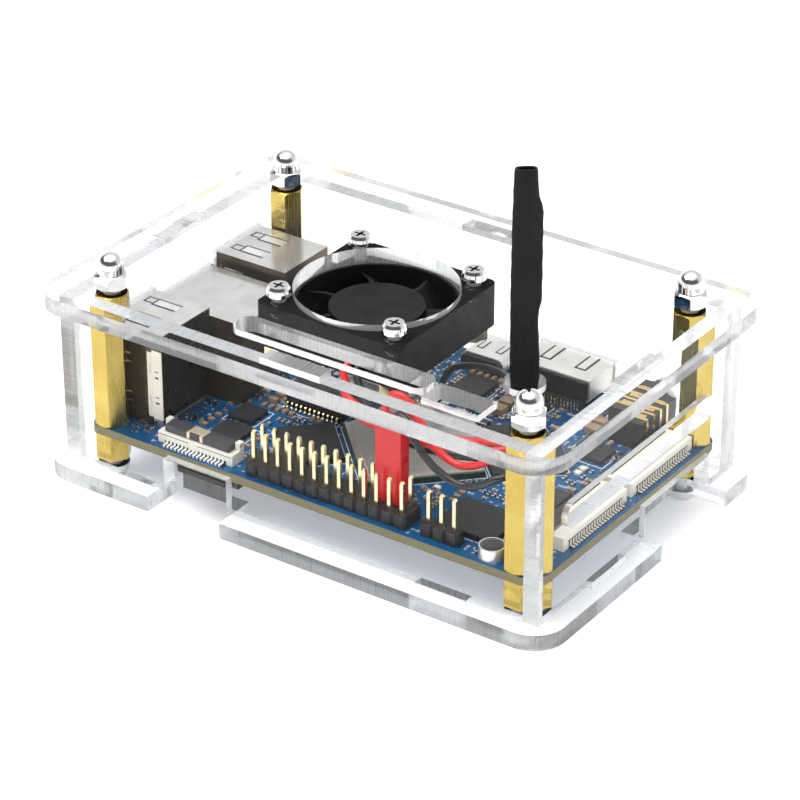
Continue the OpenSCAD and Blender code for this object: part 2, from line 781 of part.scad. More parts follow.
// A stacked pair of tongues on a rear block
module stack_insert(box, rear, tongue_t) {
    g = shell_t + 0.05;
    w = box[1][1] - box[0][1];
    block([[rear, box[0][1] + g, g], [box[1][0] - g, box[1][1] - g, box[1][2] - g]]);
    translate([box[0][0] + 1.4, box[0][1] + g, 7.1]) cube([rear - box[0][0] - 1.3, w - 2 * g, 1.4]);
    for (z = [3, 11.1])
        translate([box[0][0] + 1.2, box[0][1] + w / 2 - 5.6, z]) cube([rear - box[0][0], 11.2, tongue_t]);
}

module usb2_shell() {
    color([0.8, 0.79, 0.77]) on_board() difference() {
        port_shell(usb2_box, 2) {
            side_fingers(usb2_box, [4.4, 12]);
            top_fingers(usb2_box);
        }
        block([[8.8, usb2_box[0][1] - 1, 1.6], [usb2_box[1][0] + 1, usb2_box[1][1] + 1, 14.4]]);
    }
}

module usb2_insert() {
    b = usb2_box;
    color([0.93, 0.91, 0.86]) on_board() difference() {
        union() {
            stack_insert(b, 7.4, 1.8);
            block([[8.9, b[0][1], 1.7], [b[1][0] - 0.1, b[1][1], 14.3]]);
        }
        for (z = [4, 10.4], y = [b[0][1] - 1, b[1][1] - 0.25]) translate([9.3, y, z]) {
            cube([0.4, 1.25, 1.8]);
            cube([1.2, 1.25, 0.4]);
        }
    }
}

module usb3_shell() {
    color([0.8, 0.79, 0.77]) on_board() port_shell(usb3_box) {
        side_fingers(usb3_box, [4.4, 12]);
        top_fingers(usb3_box);
    }
}

module usb3_insert() {
    color([0.1, 0.3, 0.75]) on_board() stack_insert(usb3_box, 8.5, 2);
}

// ---------- Sockets along the back ----------

module hdmi_outline(g) {
    w = 15 - 2 * g;
    h = 5.9 - 2 * g;
    translate([-w / 2, g]) polygon([[2.4, 0], [w - 2.4, 0], [w, 2], [w, h], [0, h], [0, 2]]);
}

module hdmi_shell() {
    b = hdmi_box;
    mid = (b[0][0] + b[1][0]) / 2;
    color([0.8, 0.79, 0.77]) on_board() translate([mid, b[1][1], b[0][2]]) difference() {
        rotate([90, 0, 0]) linear_extrude(b[1][1] - b[0][1]) difference() {
            hdmi_outline(0);
            hdmi_outline(shell_t);
        }
        for (s = [-1, 1]) translate([s * 3.4, -2.4, 5.9]) rotate(-90) finger_cut(4.2, 2, 2);
    }
}

module hdmi_insert() {
    b = hdmi_box;
    mid = (b[0][0] + b[1][0]) / 2;
    color([0.1, 0.1, 0.1]) on_board() translate([mid, 0, b[0][2]]) {
        translate([0, b[0][1] + 3.6, 0]) rotate([90, 0, 0]) linear_extrude(4.2) hdmi_outline(shell_t + 0.05);
        translate([-5.6, b[0][1] + 3, 2.5]) cube([11.2, 6, 0.9]);
    }
}

module usb_c_shell() {
    b = usb_c_box;
    r = 1.55;
    color([0.8, 0.79, 0.77]) on_board() translate([0, b[1][1], 0]) rotate([90, 0, 0])
        linear_extrude(b[1][1] - b[0][1]) difference() {
            translate([b[0][0], b[0][2]]) rounded([b[1][0] - b[0][0], b[1][2] - b[0][2]], r);
            translate([b[0][0] + 0.3, b[0][2] + 0.3])
                rounded([b[1][0] - b[0][0] - 0.6, b[1][2] - b[0][2] - 0.6], r - 0.3);
        }
}

module usb_c_insert() {
    b = usb_c_box;
    color([0.1, 0.1, 0.1]) on_board() {
        translate([0, b[0][1] + 1.8, 0]) rotate([90, 0, 0]) linear_extrude(2.6)
            translate([b[0][0] + 0.35, b[0][2] + 0.35])
                rounded([b[1][0] - b[0][0] - 0.7, b[1][2] - b[0][2] - 0.7], 1.2);
        translate([b[0][0] + 1.2, b[0][1] + 1.5, 1.35]) cube([b[1][0] - b[0][0] - 2.4, 5.4, 0.7]);
    }
}

module dc_jack_body() {
    b = dc_box;
    color([0.1, 0.1, 0.1]) on_board() difference() {
        block(b);
        translate([(b[0][0] + b[1][0]) / 2, b[1][1] - 10, 3.4]) rotate([-90, 0, 0]) cylinder(h = 11, r = 2.1);
        translate([b[0][0] - 1, b[0][1] - 1, 5.6]) cube([10, 4, 2]);
    }
}

module dc_jack_pin() {
    b = dc_box;
    color("silver") on_board() translate([(b[0][0] + b[1][0]) / 2, b[1][1] - 10, 3.4]) rotate([-90, 0, 0])
        cylinder(h = 8.6, r = 0.8);
}

module audio_jack_body() {
    b = audio_box;
    mid = (b[0][0] + b[1][0]) / 2;
    color([0.1, 0.1, 0.1]) on_board() difference() {
        union() {
            block(b);
            translate([mid, b[1][1] - 1, 2.7]) rotate([-90, 0, 0]) cylinder(h = 4, r = 2.6);
        }
        translate([mid, b[1][1] - 9.5, 2.7]) rotate([-90, 0, 0]) cylinder(h = 14, r = 1.8);
        for (y = [2.2, 5.2, 8.2]) translate([b[0][0] + 0.8, b[0][1] + y, 4.85]) cube([5, 1.4, 1]);
    }
}

module audio_jack_contacts() {
    b = audio_box;
    color("gold") on_board() for (y = [2.2, 5.2, 8.2])
        translate([b[0][0] + 0.85, b[0][1] + y + 0.05, 4.86]) cube([4.9, 1.3, 0.3]);
}

// ---------- Flat cable sockets ----------

// A socket along Y that opens towards +X, with two ears that hold its latch
module display_socket(y) {
    ear = 1;
    leads = 30;
    body_x = display_x + 3.7;
    translate([0, y - display_l / 2, 0]) {
        difference() {
            translate([body_x, 0, 0]) cube([3, display_l, 2.5]);
            translate([body_x + 0.6, 1.4, 1.1]) cube([4, display_l - 2.8, 0.5]);
        }
        for (s = [0, display_l - ear]) difference() {
            translate([display_x + 0.6, s, 0]) cube([3.3, ear, 2.3]);
            translate([display_x + 2.8, s - 1, 1.4]) rotate([-90, 0, 0])
                cylinder(h = ear + 2, r = latch_pin_r + latch_play, $fn = 24);
        }
        for (i = [0:leads - 1])
            translate([body_x + 2.9, 2.5 + i * 0.5, 0]) cube([0.9, 0.25, 0.25]);
    }
}

module display_sockets() {
    color([0.92, 0.89, 0.82]) on_board() for (y = display_y) display_socket(y);
}

module display_latch(y) {
    half = display_l / 2 - 1.15;
    color([0.16, 0.13, 0.11]) on_board() translate([display_x, y, 0]) {
        translate([0.1, -half, 0.75]) cube([3.1, 2 * half, 1.3]);
        translate([2.8, -half - 0.9, 1.4]) rotate([-90, 0, 0])
            cylinder(h = 2 * half + 1.8, r = latch_pin_r, $fn = 24);
    }
}

module display_latch_front() {
    display_latch(display_y[0]);
}

module display_latch_back() {
    display_latch(display_y[1]);
}

module expansion_socket() {
    ear = 1;
    leads = 24;
    l = expansion_x[1] - expansion_x[0];
    color([0.92, 0.9, 0.85]) on_board() translate([expansion_x[0], expansion_y, 0]) {
        cube([l, 3.4, 2.1]);
        for (s = [0, l - ear]) difference() {
            translate([s, 2.2, 2]) cube([ear, 1.2, 1.5]);
            translate([s - 1, 2.8, 2.85]) rotate([0, 90, 0])
                cylinder(h = ear + 2, r = latch_pin_r + latch_play, $fn = 24);
        }
        for (i = [0:leads - 1]) translate([2.1 + i * 0.5, -0.9, 0]) cube([0.25, 1, 0.25]);
    }
}

module expansion_latch() {
    l = expansion_x[1] - expansion_x[0];
    color([0.25, 0.25, 0.26]) on_board() translate([expansion_x[0], expansion_y, 0]) {
        translate([1.15, 0.5, 2.25]) cube([l - 2.3, 2.65, 1.15]);
        translate([0.25, 2.8, 2.85]) rotate([0, 90, 0]) cylinder(h = l - 0.5, r = latch_pin_r, $fn = 24);
    }
}

// ---------- Switch and card ----------

module power_switch() {
    color([0.75, 0.74, 0.72]) on_board() difference() {
        translate([34.6, 52.4, 0]) cube([5.8, 3.4, 4]);
        translate([switch_x - 1.15, 53.6, switch_z - 1.15]) cube([2.3, 4, 2.3]);
    }
}

module power_button() {
    color([0.12, 0.12, 0.12]) on_board()
        translate([switch_x - 0.95, 54.2, switch_z - 0.95]) cube([1.9, 4.4, 1.9]);
}

module card_socket() {
    color([0.75, 0.75, 0.74]) on_board() translate([card_x, 0, under_z]) mirror([0, 0, 1]) difference() {
        translate([-card_socket_w / 2, 0.9, 0]) cube([card_socket_w, 14.4, 1.8]);
        translate([-card_w / 2 - 0.3, 0, 0.35]) cube([card_w + 0.6, 14.6, card_t + 0.6]);
    }
}

module memory_card() {
    z = under_z - 0.65 - card_t;
    color([0.1, 0.1, 0.1]) on_board() translate([card_x - card_w / 2, card_out, z]) linear_extrude(card_t)
        polygon([
            [0, 0.5], [0.5, 0], [card_w - 0.5, 0], [card_w, 0.5], [card_w, 8], [card_w - 1.2, 9.4],
            [card_w - 1.2, card_l], [0, card_l]
        ]);
}

top_plate();
bottom_plate();
front_plate();
back_plate();
left_plate();
right_plate();
circuit_board();
spacers();
standoffs();
cap_nuts();
base_screws();
fan_frame();
fan_rotor();
fan_shaft();
fan_bearing();
fan_coil();
fan_screws();
fan_nuts();
fan_lead_red();
fan_lead_black();
lead_plug();
lead_contacts();
header_bodies();
header_pins();
microphone();
soc_package();
soc_lid();
ram_chips();
flash_chip();
support_chips();
passives();
wireless_module();
coax_socket();
coax_plug();
antenna_coax();
antenna_element();
antenna_sleeve();
rj45_shell();
rj45_insert();
usb2_shell();
usb2_insert();
usb3_shell();
usb3_insert();
hdmi_shell();
hdmi_insert();
usb_c_shell();
usb_c_insert();
dc_jack_body();
dc_jack_pin();
audio_jack_body();
audio_jack_contacts();
display_sockets();
display_latch_front();
display_latch_back();
expansion_socket();
expansion_latch();
power_switch();
power_button();
card_socket();
memory_card();
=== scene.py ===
"""Looks of a single board computer in a clear case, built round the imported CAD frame."""
import bpy
import math
import random
from mathutils import Matrix, Vector
from mathutils.bvhtree import BVHTree


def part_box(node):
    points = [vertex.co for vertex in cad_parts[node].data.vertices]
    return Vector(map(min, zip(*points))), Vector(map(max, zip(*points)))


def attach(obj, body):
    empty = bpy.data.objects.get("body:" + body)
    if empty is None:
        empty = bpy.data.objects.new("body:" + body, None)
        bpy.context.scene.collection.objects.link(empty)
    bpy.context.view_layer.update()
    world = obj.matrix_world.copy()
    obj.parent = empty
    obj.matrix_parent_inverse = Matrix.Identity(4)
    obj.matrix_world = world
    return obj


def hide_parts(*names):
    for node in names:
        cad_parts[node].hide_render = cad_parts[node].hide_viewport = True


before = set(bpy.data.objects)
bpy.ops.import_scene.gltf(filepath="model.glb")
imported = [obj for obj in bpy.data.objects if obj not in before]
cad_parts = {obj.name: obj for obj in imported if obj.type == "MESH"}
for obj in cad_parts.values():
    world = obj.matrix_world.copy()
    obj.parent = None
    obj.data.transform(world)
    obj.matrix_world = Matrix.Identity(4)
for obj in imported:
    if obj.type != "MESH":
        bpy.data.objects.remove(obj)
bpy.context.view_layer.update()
MM = 0.001
BOARD_LOW, BOARD_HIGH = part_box("circuit_board")
rng = random.Random(11)


def at(x, y, z):
    """Board millimetres (from the front left corner of the board's top face) to the row frame."""
    return Vector((BOARD_LOW.x + x * MM, BOARD_LOW.y + y * MM, BOARD_HIGH.z + z * MM))


# ---------- Camera ----------

CAMERA_AZIMUTH = 34.78
CAMERA_ELEVATION = 29.04
CAMERA_ROLL = -0.07
CAMERA_DISTANCE = 0.57252
CAMERA_LENS = 150.0
AIM = at(48.2, 24.29, 7.95)


def make_camera():
    a, e = math.radians(CAMERA_AZIMUTH), math.radians(CAMERA_ELEVATION)
    back = Vector((math.sin(a) * math.cos(e), -math.cos(a) * math.cos(e), math.sin(e)))
    data = bpy.data.cameras.new("camera")
    data.lens = CAMERA_LENS
    data.sensor_width = 36
    data.clip_start = 0.01
    cam = bpy.data.objects.new("camera", data)
    bpy.context.scene.collection.objects.link(cam)
    turn = (-back).to_track_quat("-Z", "Y").to_matrix() @ Matrix.Rotation(math.radians(CAMERA_ROLL), 3, "Z")
    cam.matrix_world = Matrix.Translation(AIM + back * CAMERA_DISTANCE) @ turn.to_4x4()
    bpy.context.scene.camera = cam


make_camera()


# ---------- Node helpers ----------

WEAR = 0.08
ACRYLIC_IOR = 1.49

class Shader:
    """A material's node tree with short names for what is used here."""

    def __init__(self, name):
        self.mat = bpy.data.materials.new(name)
        self.mat.use_nodes = True
        self.tree = self.mat.node_tree
        self.bsdf = self.tree.nodes["Principled BSDF"]
        self.out = self.tree.nodes["Material Output"]
        self._place = None

    def node(self, kind, **settings):
        made = self.tree.nodes.new(kind)
        for key, value in settings.items():
            setattr(made, key, value)
        return made

    def link(self, source, target):
        self.tree.links.new(source, target)

    def put(self, socket, value):
        """Sets a socket to a plain value, or links an output to it."""
        if isinstance(value, bpy.types.NodeSocket):
            self.link(value, socket)
        else:
            socket.default_value = value

    def place(self):
        if self._place is None:
            self._place = self.node("ShaderNodeTexCoord").outputs["Object"]
        return self._place

    def scaled(self, factors):
        mapping = self.node("ShaderNodeMapping")
        self.link(self.place(), mapping.inputs["Vector"])
        mapping.inputs["Scale"].default_value = factors
        return mapping.outputs["Vector"]

    def noise(self, scale, detail=2.0, vector=None, rough=0.5):
        made = self.node("ShaderNodeTexNoise")
        self.link(vector or self.place(), made.inputs["Vector"])
        made.inputs["Scale"].default_value = scale
        made.inputs["Detail"].default_value = detail
        made.inputs["Roughness"].default_value = rough
        return made.outputs["Fac"]

    def voronoi(self, scale):
        made = self.node("ShaderNodeTexVoronoi", feature="F1")
        self.link(self.place(), made.inputs["Vector"])
        made.inputs["Scale"].default_value = scale
        return made.outputs["Distance"]

    def ramp(self, value, low, high, to_low=0.0, to_high=1.0, smooth=False):
        made = self.node("ShaderNodeMapRange", interpolation_type="SMOOTHSTEP" if smooth else "LINEAR")
        self.put(made.inputs["Value"], value)
        for key, number in (("From Min", low), ("From Max", high), ("To Min", to_low), ("To Max", to_high)):
            made.inputs[key].default_value = number
        return made.outputs["Result"]

    def math(self, kind, a, b=0.0):
        made = self.node("ShaderNodeMath", operation=kind)
        self.put(made.inputs[0], a)
        self.put(made.inputs[1], b)
        return made.outputs[0]

    def mix(self, factor, a, b):
        made = self.node("ShaderNodeMix", data_type="RGBA")
        self.put(made.inputs["Factor"], factor)
        self.put(made.inputs[6], rgba(a))
        self.put(made.inputs[7], rgba(b))
        return made.outputs[2]

    def split(self, vector):
        made = self.node("ShaderNodeSeparateXYZ")
        self.link(vector, made.inputs[0])
        return made.outputs

    def facing(self, axis):
        """1 where the surface faces along an axis of the frame, 0 where it stands across it."""
        normal = self.node("ShaderNodeNewGeometry").outputs["True Normal"]
        return self.ramp(self.math("ABSOLUTE", self.split(normal)[axis]), 0.6, 0.75)

    def bump(self, height, strength, distance):
        made = self.node("ShaderNodeBump")
        self.put(made.inputs["Height"], height)
        made.inputs["Strength"].default_value = strength
        made.inputs["Distance"].default_value = distance
        self.link(made.outputs[0], self.bsdf.inputs["Normal"])

    def set(self, **values):
        names = {"color": "Base Color", "rough": "Roughness", "metal": "Metallic", "ior": "IOR",
                 "coat": "Coat Weight", "coat_rough": "Coat Roughness", "glass": "Transmission Weight",
                 "specular": "Specular IOR Level", "sheen": "Sheen Weight"}
        for key, value in values.items():
            self.put(self.bsdf.inputs[names[key]], rgba(value) if key == "color" else value)
        return self


def rgba(color):
    if isinstance(color, (tuple, list)) and len(color) == 3:
        return (*color, 1.0)
    return color


def shade(color, factor):
    return tuple(min(1.0, c * factor) for c in color)


def surface(name, color, rough=0.4, metal=0.0, vary=0.1, patch=150, grain=2500, depth=0.15, **more):
    """A plain finish with colour patches, uneven gloss and a fine grain."""
    s = Shader(name)
    tone = s.noise(patch, 3)
    s.set(color=s.mix(tone, shade(color, 1 - vary), shade(color, 1 + vary)), metal=metal)
    s.set(rough=s.ramp(s.noise(patch * 2.3, 4), 0.3, 0.7, max(0.02, rough - WEAR), rough + WEAR))
    s.bump(s.noise(grain, 2), depth, 0.00003)
    s.set(**more)
    return s.mat


# ---------- Materials ----------

def acrylic(name, axis):
    """Clear acrylic: polished faces across one axis, and laser-cut edges, frosted and finely striated."""
    s = Shader(name)
    face = s.facing(axis)
    edge = s.math("SUBTRACT", 1.0, face)
    stretch = [14000.0] * 3
    stretch[axis] = 90.0
    lines = s.noise(1.0, 2, s.scaled(stretch))
    height = s.math("ADD", s.math("MULTIPLY", lines, edge), s.math("MULTIPLY", s.noise(60, 1), 0.03))
    s.set(color=(0.99, 0.993, 0.995), ior=ACRYLIC_IOR, glass=1.0, rough=s.math("MULTIPLY", edge, 0.08))
    s.bsdf.inputs["Specular Tint"].default_value = (0.1, 0.1, 0.1, 1)
    s.bump(height, 0.06, 0.00004)
    frost = s.node("ShaderNodeBsdfTranslucent")
    s.link(s.mix(s.ramp(lines, 0.35, 0.65), (0.8, 0.82, 0.83), (0.97, 0.98, 0.98)), frost.inputs["Color"])
    sheen = s.node("ShaderNodeBsdfDiffuse")
    sheen.inputs["Color"].default_value = (0.93, 0.94, 0.95, 1)
    clear = s.node("ShaderNodeBsdfTransparent")
    clear.inputs["Color"].default_value = (0.97, 0.975, 0.98, 1)

    def blend(factor, low, high):
        mixed = s.node("ShaderNodeMixShader")
        s.put(mixed.inputs[0], factor)
        s.link(low, mixed.inputs[1])
        s.link(high, mixed.inputs[2])
        return mixed.outputs[0]

    cut = blend(0.5, frost.outputs[0], sheen.outputs[0])
    cut = blend(0.45, cut, clear.outputs[0])
    bend = s.node("ShaderNodeBsdfRefraction")
    bend.inputs["IOR"].default_value = ACRYLIC_IOR
    bend.inputs["Roughness"].default_value = 0.0
    mirror = s.node("ShaderNodeFresnel")
    mirror.inputs["IOR"].default_value = ACRYLIC_IOR
    calm = s.math("MULTIPLY", s.math("SUBTRACT", 1.0, mirror.outputs[0]), 0.85)
    glass = blend(calm, s.bsdf.outputs[0], bend.outputs[0])
    skin = blend(s.math("MULTIPLY", edge, s.ramp(lines, 0.3, 0.7, 0.46, 0.6)), glass, cut)
    path = s.node("ShaderNodeLightPath")
    through = s.math("MAXIMUM", path.outputs["Is Shadow Ray"], path.outputs["Is Diffuse Ray"])
    s.link(blend(through, skin, clear.outputs[0]), s.out.inputs["Surface"])
    return s.mat


def board_blue():
    """Blue solder mask with faint tracks and vias on the faces, woven fibreglass at the edge."""
    s = Shader("board_blue")
    face = s.facing(2)
    x, y, z = s.split(s.place())

    def stripes(along, bend):
        wave = s.math("MULTIPLY", s.noise(bend, 0), 9)
        return s.math("PINGPONG", s.math("ADD", s.math("MULTIPLY", along, 1800), wave), 0.5)

    across, lengthways = stripes(x, 120), stripes(y, 90)
    zone = s.ramp(s.voronoi(95), 0.35, 0.38)
    other = s.math("SUBTRACT", 1.0, zone)
    both = s.math("ADD", s.math("MULTIPLY", across, zone), s.math("MULTIPLY", lengthways, other))
    tracks = s.ramp(both, 0.16, 0.24)
    copper = s.math("MULTIPLY", tracks, s.ramp(s.noise(70, 1), 0.44, 0.5))
    vias = s.math("SUBTRACT", 1.0, s.ramp(s.voronoi(420), 0.07, 0.1))
    mask = s.mix(copper, (0.001, 0.058, 0.17), (0.002, 0.13, 0.32))
    mask = s.mix(s.ramp(s.noise(35, 2), 0.35, 0.65), mask, s.mix(0.35, mask, (0.001, 0.024, 0.08)))
    mask = s.mix(vias, mask, (0.1, 0.26, 0.36))
    threads = s.math("SINE", s.math("MULTIPLY", s.math("ADD", x, y), 9000))
    weave = s.math("MULTIPLY", threads, s.math("SINE", s.math("MULTIPLY", z, 16000)))
    glass = s.mix(s.ramp(weave, -0.6, 0.6), (0.08, 0.07, 0.035), (0.3, 0.27, 0.15))
    s.set(color=s.mix(face, glass, mask), rough=s.ramp(face, 0, 1, 0.6, 0.3), specular=0.35)
    s.bump(s.math("MULTIPLY", s.math("ADD", copper, vias), face), 0.5, 0.00003)
    return s.mat


def brass():
    s = Shader("brass")
    drawn = s.noise(1.0, 2, s.scaled((5000, 5000, 90)))
    tone = s.noise(160, 3)
    s.set(color=s.mix(tone, (0.42, 0.3, 0.06), (0.66, 0.51, 0.15)), metal=1.0)
    s.set(rough=s.ramp(drawn, 0.3, 0.7, 0.14, 0.3))
    s.bump(drawn, 0.25, 0.00002)
    return s.mat


def chrome(name, color=(0.88, 0.88, 0.89), rough=0.03):
    s = Shader(name)
    s.set(color=s.mix(s.noise(300, 3), shade(color, 0.93), shade(color, 1.05)), metal=1.0)
    s.set(rough=s.ramp(s.noise(900, 4), 0.35, 0.7, rough, rough + 0.05))
    s.bump(s.noise(1500, 3), 0.03, 0.00003)
    return s.mat


def sheet_metal(name, color, rough=0.22, axis=0, painted_reflection_walls=False):
    """Rolled and plated sheet, with its grain along one axis; with the wall option set, the upright walls
    get a painted dark brownish reflection.
    """
    s = Shader(name)
    stretch = [3000.0] * 3
    stretch[axis] = 400.0
    grain = s.noise(1.0, 3, s.scaled(stretch))
    spots = s.ramp(s.noise(220, 4), 0.35, 0.7)
    tone = s.mix(spots, shade(color, 0.92), shade(color, 1.04))
    if painted_reflection_walls:
        # painted reflection: upright walls take a dark brownish tone in place of the dark room and brass
        # posts mirrored in them
        tone = s.mix(s.facing(2), s.mix(s.noise(120, 2), (0.045, 0.035, 0.022), (0.16, 0.125, 0.08)), tone)
    s.set(color=tone, metal=0.75)
    s.set(rough=s.math("ADD", s.ramp(grain, 0.3, 0.7, rough, rough + 0.06), s.math("MULTIPLY", spots, 0.04)))
    s.bump(grain, 0.03, 0.000001)
    return s.mat


def housing(name, start):
    """Ivory port insert whose back, behind the start plane, is coloured as dark metallic sheet in uneven
    patches.
    """
    s = Shader(name)
    x = s.split(s.place())[0]
    back = s.ramp(x, start - 0.0001, start + 0.0001)
    # the back is coloured dark and metallic, in uneven patches
    dark_back_tone = s.mix(s.noise(140, 2), (0.03, 0.026, 0.022), (0.1, 0.085, 0.07))
    s.set(color=s.mix(back, (0.8, 0.77, 0.68), dark_back_tone))
    s.set(metal=s.math("MULTIPLY", back, 0.8), rough=s.ramp(s.noise(300, 3), 0.3, 0.7, 0.2, 0.34))
    s.bump(s.noise(2600, 2), 0.1, 0.00002)
    return s.mat


def chip_top(name, color):
    """Moulded package: fine speckle and a slightly worn sheen."""
    s = Shader(name)
    specks = s.ramp(s.noise(6000, 1), 0.62, 0.75)
    s.set(color=s.mix(specks, color, shade(color, 3.2)))
    s.set(rough=s.ramp(s.noise(260, 3), 0.3, 0.7, 0.42, 0.6))
    s.bump(s.noise(5200, 2), 0.25, 0.00002)
    return s.mat


def lid():
    """Nickel-plated heat spreader, matt from blasting, with faint handling marks."""
    s = Shader("lid_metal")
    marks = s.ramp(s.noise(1.0, 3, s.scaled((900, 2600, 900))), 0.5, 0.75)
    s.set(color=s.mix(s.noise(180, 3), (0.56, 0.54, 0.51), (0.7, 0.69, 0.66)), metal=0.9)
    s.set(rough=s.ramp(marks, 0, 1, 0.42, 0.32))
    s.bump(s.noise(5000, 2), 0.3, 0.00002)
    return s.mat


def shrink_tube():
    s = Shader("shrink_tube")
    folds = s.noise(1.0, 3, s.scaled((420, 420, 90)))
    s.set(color=s.mix(s.noise(500, 2), (0.004, 0.004, 0.0045), (0.009, 0.009, 0.0095)))
    s.set(rough=s.ramp(folds, 0.3, 0.7, 0.5, 0.66), specular=0.2)
    fine = s.noise(3800, 2)
    s.bump(s.math("ADD", folds, s.math("MULTIPLY", fine, 0.12)), 0.5, 0.0002)
    return s.mat


def lead_skin(name, color, rough=0.32):
    s = Shader(name)
    s.set(color=s.mix(s.noise(400, 2), shade(color, 0.9), shade(color, 1.08)))
    s.set(rough=s.ramp(s.noise(900, 2), 0.3, 0.7, rough - 0.06, rough + 0.1), coat=0.2, coat_rough=0.2)
    s.bump(s.noise(1700, 2), 0.12, 0.00004)
    return s.mat


def felt():
    s = Shader("felt")
    fibres = s.noise(1.0, 5, s.scaled((5200, 5200, 1500)), 0.8)
    s.set(color=s.mix(fibres, (0.004, 0.004, 0.004), (0.04, 0.04, 0.042)), rough=0.95, sheen=0.4)
    s.bump(fibres, 0.9, 0.00012)
    return s.mat


M = {
    "acrylic_z": acrylic("acrylic_z", 2),
    "acrylic_y": acrylic("acrylic_y", 1),
    "acrylic_x": acrylic("acrylic_x", 0),
    "board": board_blue(),
    "brass": brass(),
    "chrome": chrome("chrome"),
    "steel": chrome("steel_screw", (0.75, 0.75, 0.74), 0.14),
    "fan": surface("fan_black", (0.006, 0.006, 0.007), 0.55, vary=0.3,
                   grain=3600, depth=0.25, specular=0.18),
    "rotor": surface("rotor_black", (0.005, 0.005, 0.006), 0.5, vary=0.3,
                     grain=3600, depth=0.35, specular=0.18),
    "bronze": surface("bronze", (0.42, 0.26, 0.1), 0.4, 1.0, grain=3800),
    "copper": surface("copper_winding", (0.6, 0.22, 0.07), 0.3, 0.9, grain=3000, depth=0.4),
    "lead_red": lead_skin("lead_red", (0.62, 0.012, 0.01)),
    "lead_black": lead_skin("lead_black", (0.014, 0.014, 0.015)),
    "coax": lead_skin("coax_black", (0.01, 0.01, 0.011), 0.4),
    "plug": surface("plug_red", (0.6, 0.008, 0.008), 0.34, grain=2600, depth=0.15, coat=0.15, vary=0.06),
    "gold": surface("contact_gold", (0.85, 0.64, 0.3), 0.25, 1.0, grain=4000, depth=0.1),
    "pin": surface("pin_gold", (0.84, 0.72, 0.46), 0.2, 1.0, grain=4000, depth=0.08),
    "header": surface("header_black", (0.014, 0.013, 0.013), 0.45, vary=0.25, grain=4500, depth=0.3),
    "can": sheet_metal("can_metal", (0.74, 0.74, 0.73), 0.2),
    "substrate": surface("substrate", (0.025, 0.045, 0.02), 0.4, vary=0.3),
    "lid": lid(),
    "chip": chip_top("chip_black", (0.01, 0.01, 0.012)),
    "ceramic": surface("passive_tan", (0.32, 0.22, 0.13), 0.5, vary=0.35, patch=700, grain=5000),
    "resistor": surface("resistor_black", (0.02, 0.02, 0.024), 0.4, vary=0.3, patch=600, grain=5000),
    "tin": surface("tin", (0.72, 0.72, 0.71), 0.26, 1.0, vary=0.1, patch=900, grain=3200, depth=0.3),
    "shield": sheet_metal("shield_metal", (0.6, 0.6, 0.59), 0.28),
    "shrink": shrink_tube(),
    # the upright walls of these shells get the painted dark reflection
    "port_x": sheet_metal("port_metal_x", (0.74, 0.73, 0.71), 0.12, painted_reflection_walls=True),
    "port_y": sheet_metal("port_metal_y", (0.8, 0.79, 0.76), 0.3, 1),
    "port_black": surface("port_black", (0.014, 0.014, 0.015), 0.42, vary=0.25, grain=4200, depth=0.25),
    "port_white": housing("port_white", at(10, 0, 0).x),
    # dark blue of the blue insert in the spring gaps, darkened as painted shade
    "window": surface("spring_window", (0.02, 0.035, 0.08), 0.3, vary=0.4, patch=400),
    "port_blue": surface("port_blue", (0.02, 0.12, 0.55), 0.36, vary=0.1, grain=3600, depth=0.2),
    "ivory": surface("socket_ivory", (0.8, 0.76, 0.66), 0.45, vary=0.05, grain=3600, depth=0.2),
    "latch_brown": surface("latch_brown", (0.03, 0.02, 0.015), 0.35, vary=0.2, grain=3600, depth=0.2),
    "latch_grey": surface("latch_grey", (0.045, 0.045, 0.05), 0.4, vary=0.15, grain=4200, depth=0.25),
    "card": surface("card_black", (0.016, 0.016, 0.017), 0.34, vary=0.15, grain=4200, depth=0.2),
    "silk": surface("silk_white", (0.82, 0.84, 0.84), 0.55, vary=0.06, patch=900, grain=5200, depth=0.4),
    "clip": sheet_metal("clip_metal", (0.8, 0.7, 0.5), 0.3),
    "felt": felt(),
}

NODE_MATERIALS = {
    "acrylic_z": ["top_plate", "bottom_plate"],
    "acrylic_y": ["front_plate", "back_plate"],
    "acrylic_x": ["left_plate", "right_plate"],
    "board": ["circuit_board"],
    "brass": ["spacers", "standoffs"],
    "chrome": ["cap_nuts", "fan_screws", "coax_plug"],
    "steel": ["base_screws", "fan_shaft", "dc_jack_pin"],
    "fan": ["fan_frame"],
    "rotor": ["fan_rotor"],
    "bronze": ["fan_bearing"],
    "copper": ["fan_coil"],
    "lead_red": ["fan_lead_red"],
    "lead_black": ["fan_lead_black", "antenna_coax"],
    "plug": ["lead_plug"],
    "gold": ["lead_contacts", "coax_socket", "antenna_element", "audio_jack_contacts"],
    "header": ["header_bodies"],
    "pin": ["header_pins", "fan_nuts"],
    "can": ["microphone", "power_switch"],
    "substrate": ["soc_package"],
    "lid": ["soc_lid"],
    "chip": ["ram_chips", "flash_chip", "support_chips"],
    "ceramic": ["passives"],
    "shield": ["wireless_module"],
    "shrink": ["antenna_sleeve"],
    "port_x": ["rj45_shell", "usb2_shell", "usb3_shell"],
    "port_y": ["hdmi_shell", "usb_c_shell"],
    "port_black": [
        "rj45_insert", "hdmi_insert", "usb_c_insert", "dc_jack_body", "audio_jack_body", "power_button",
    ],
    "port_white": ["usb2_insert"],
    "port_blue": ["usb3_insert"],
    "ivory": ["display_sockets", "expansion_socket"],
    "latch_brown": ["display_latch_front", "display_latch_back"],
    "latch_grey": ["expansion_latch"],
    "card": ["memory_card", "card_socket"],
}
for key, nodes in NODE_MATERIALS.items():
    for node in nodes:
        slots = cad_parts[node].data.materials
        slots.clear()
        slots.append(M[key])


# ---------- Shape helpers ----------

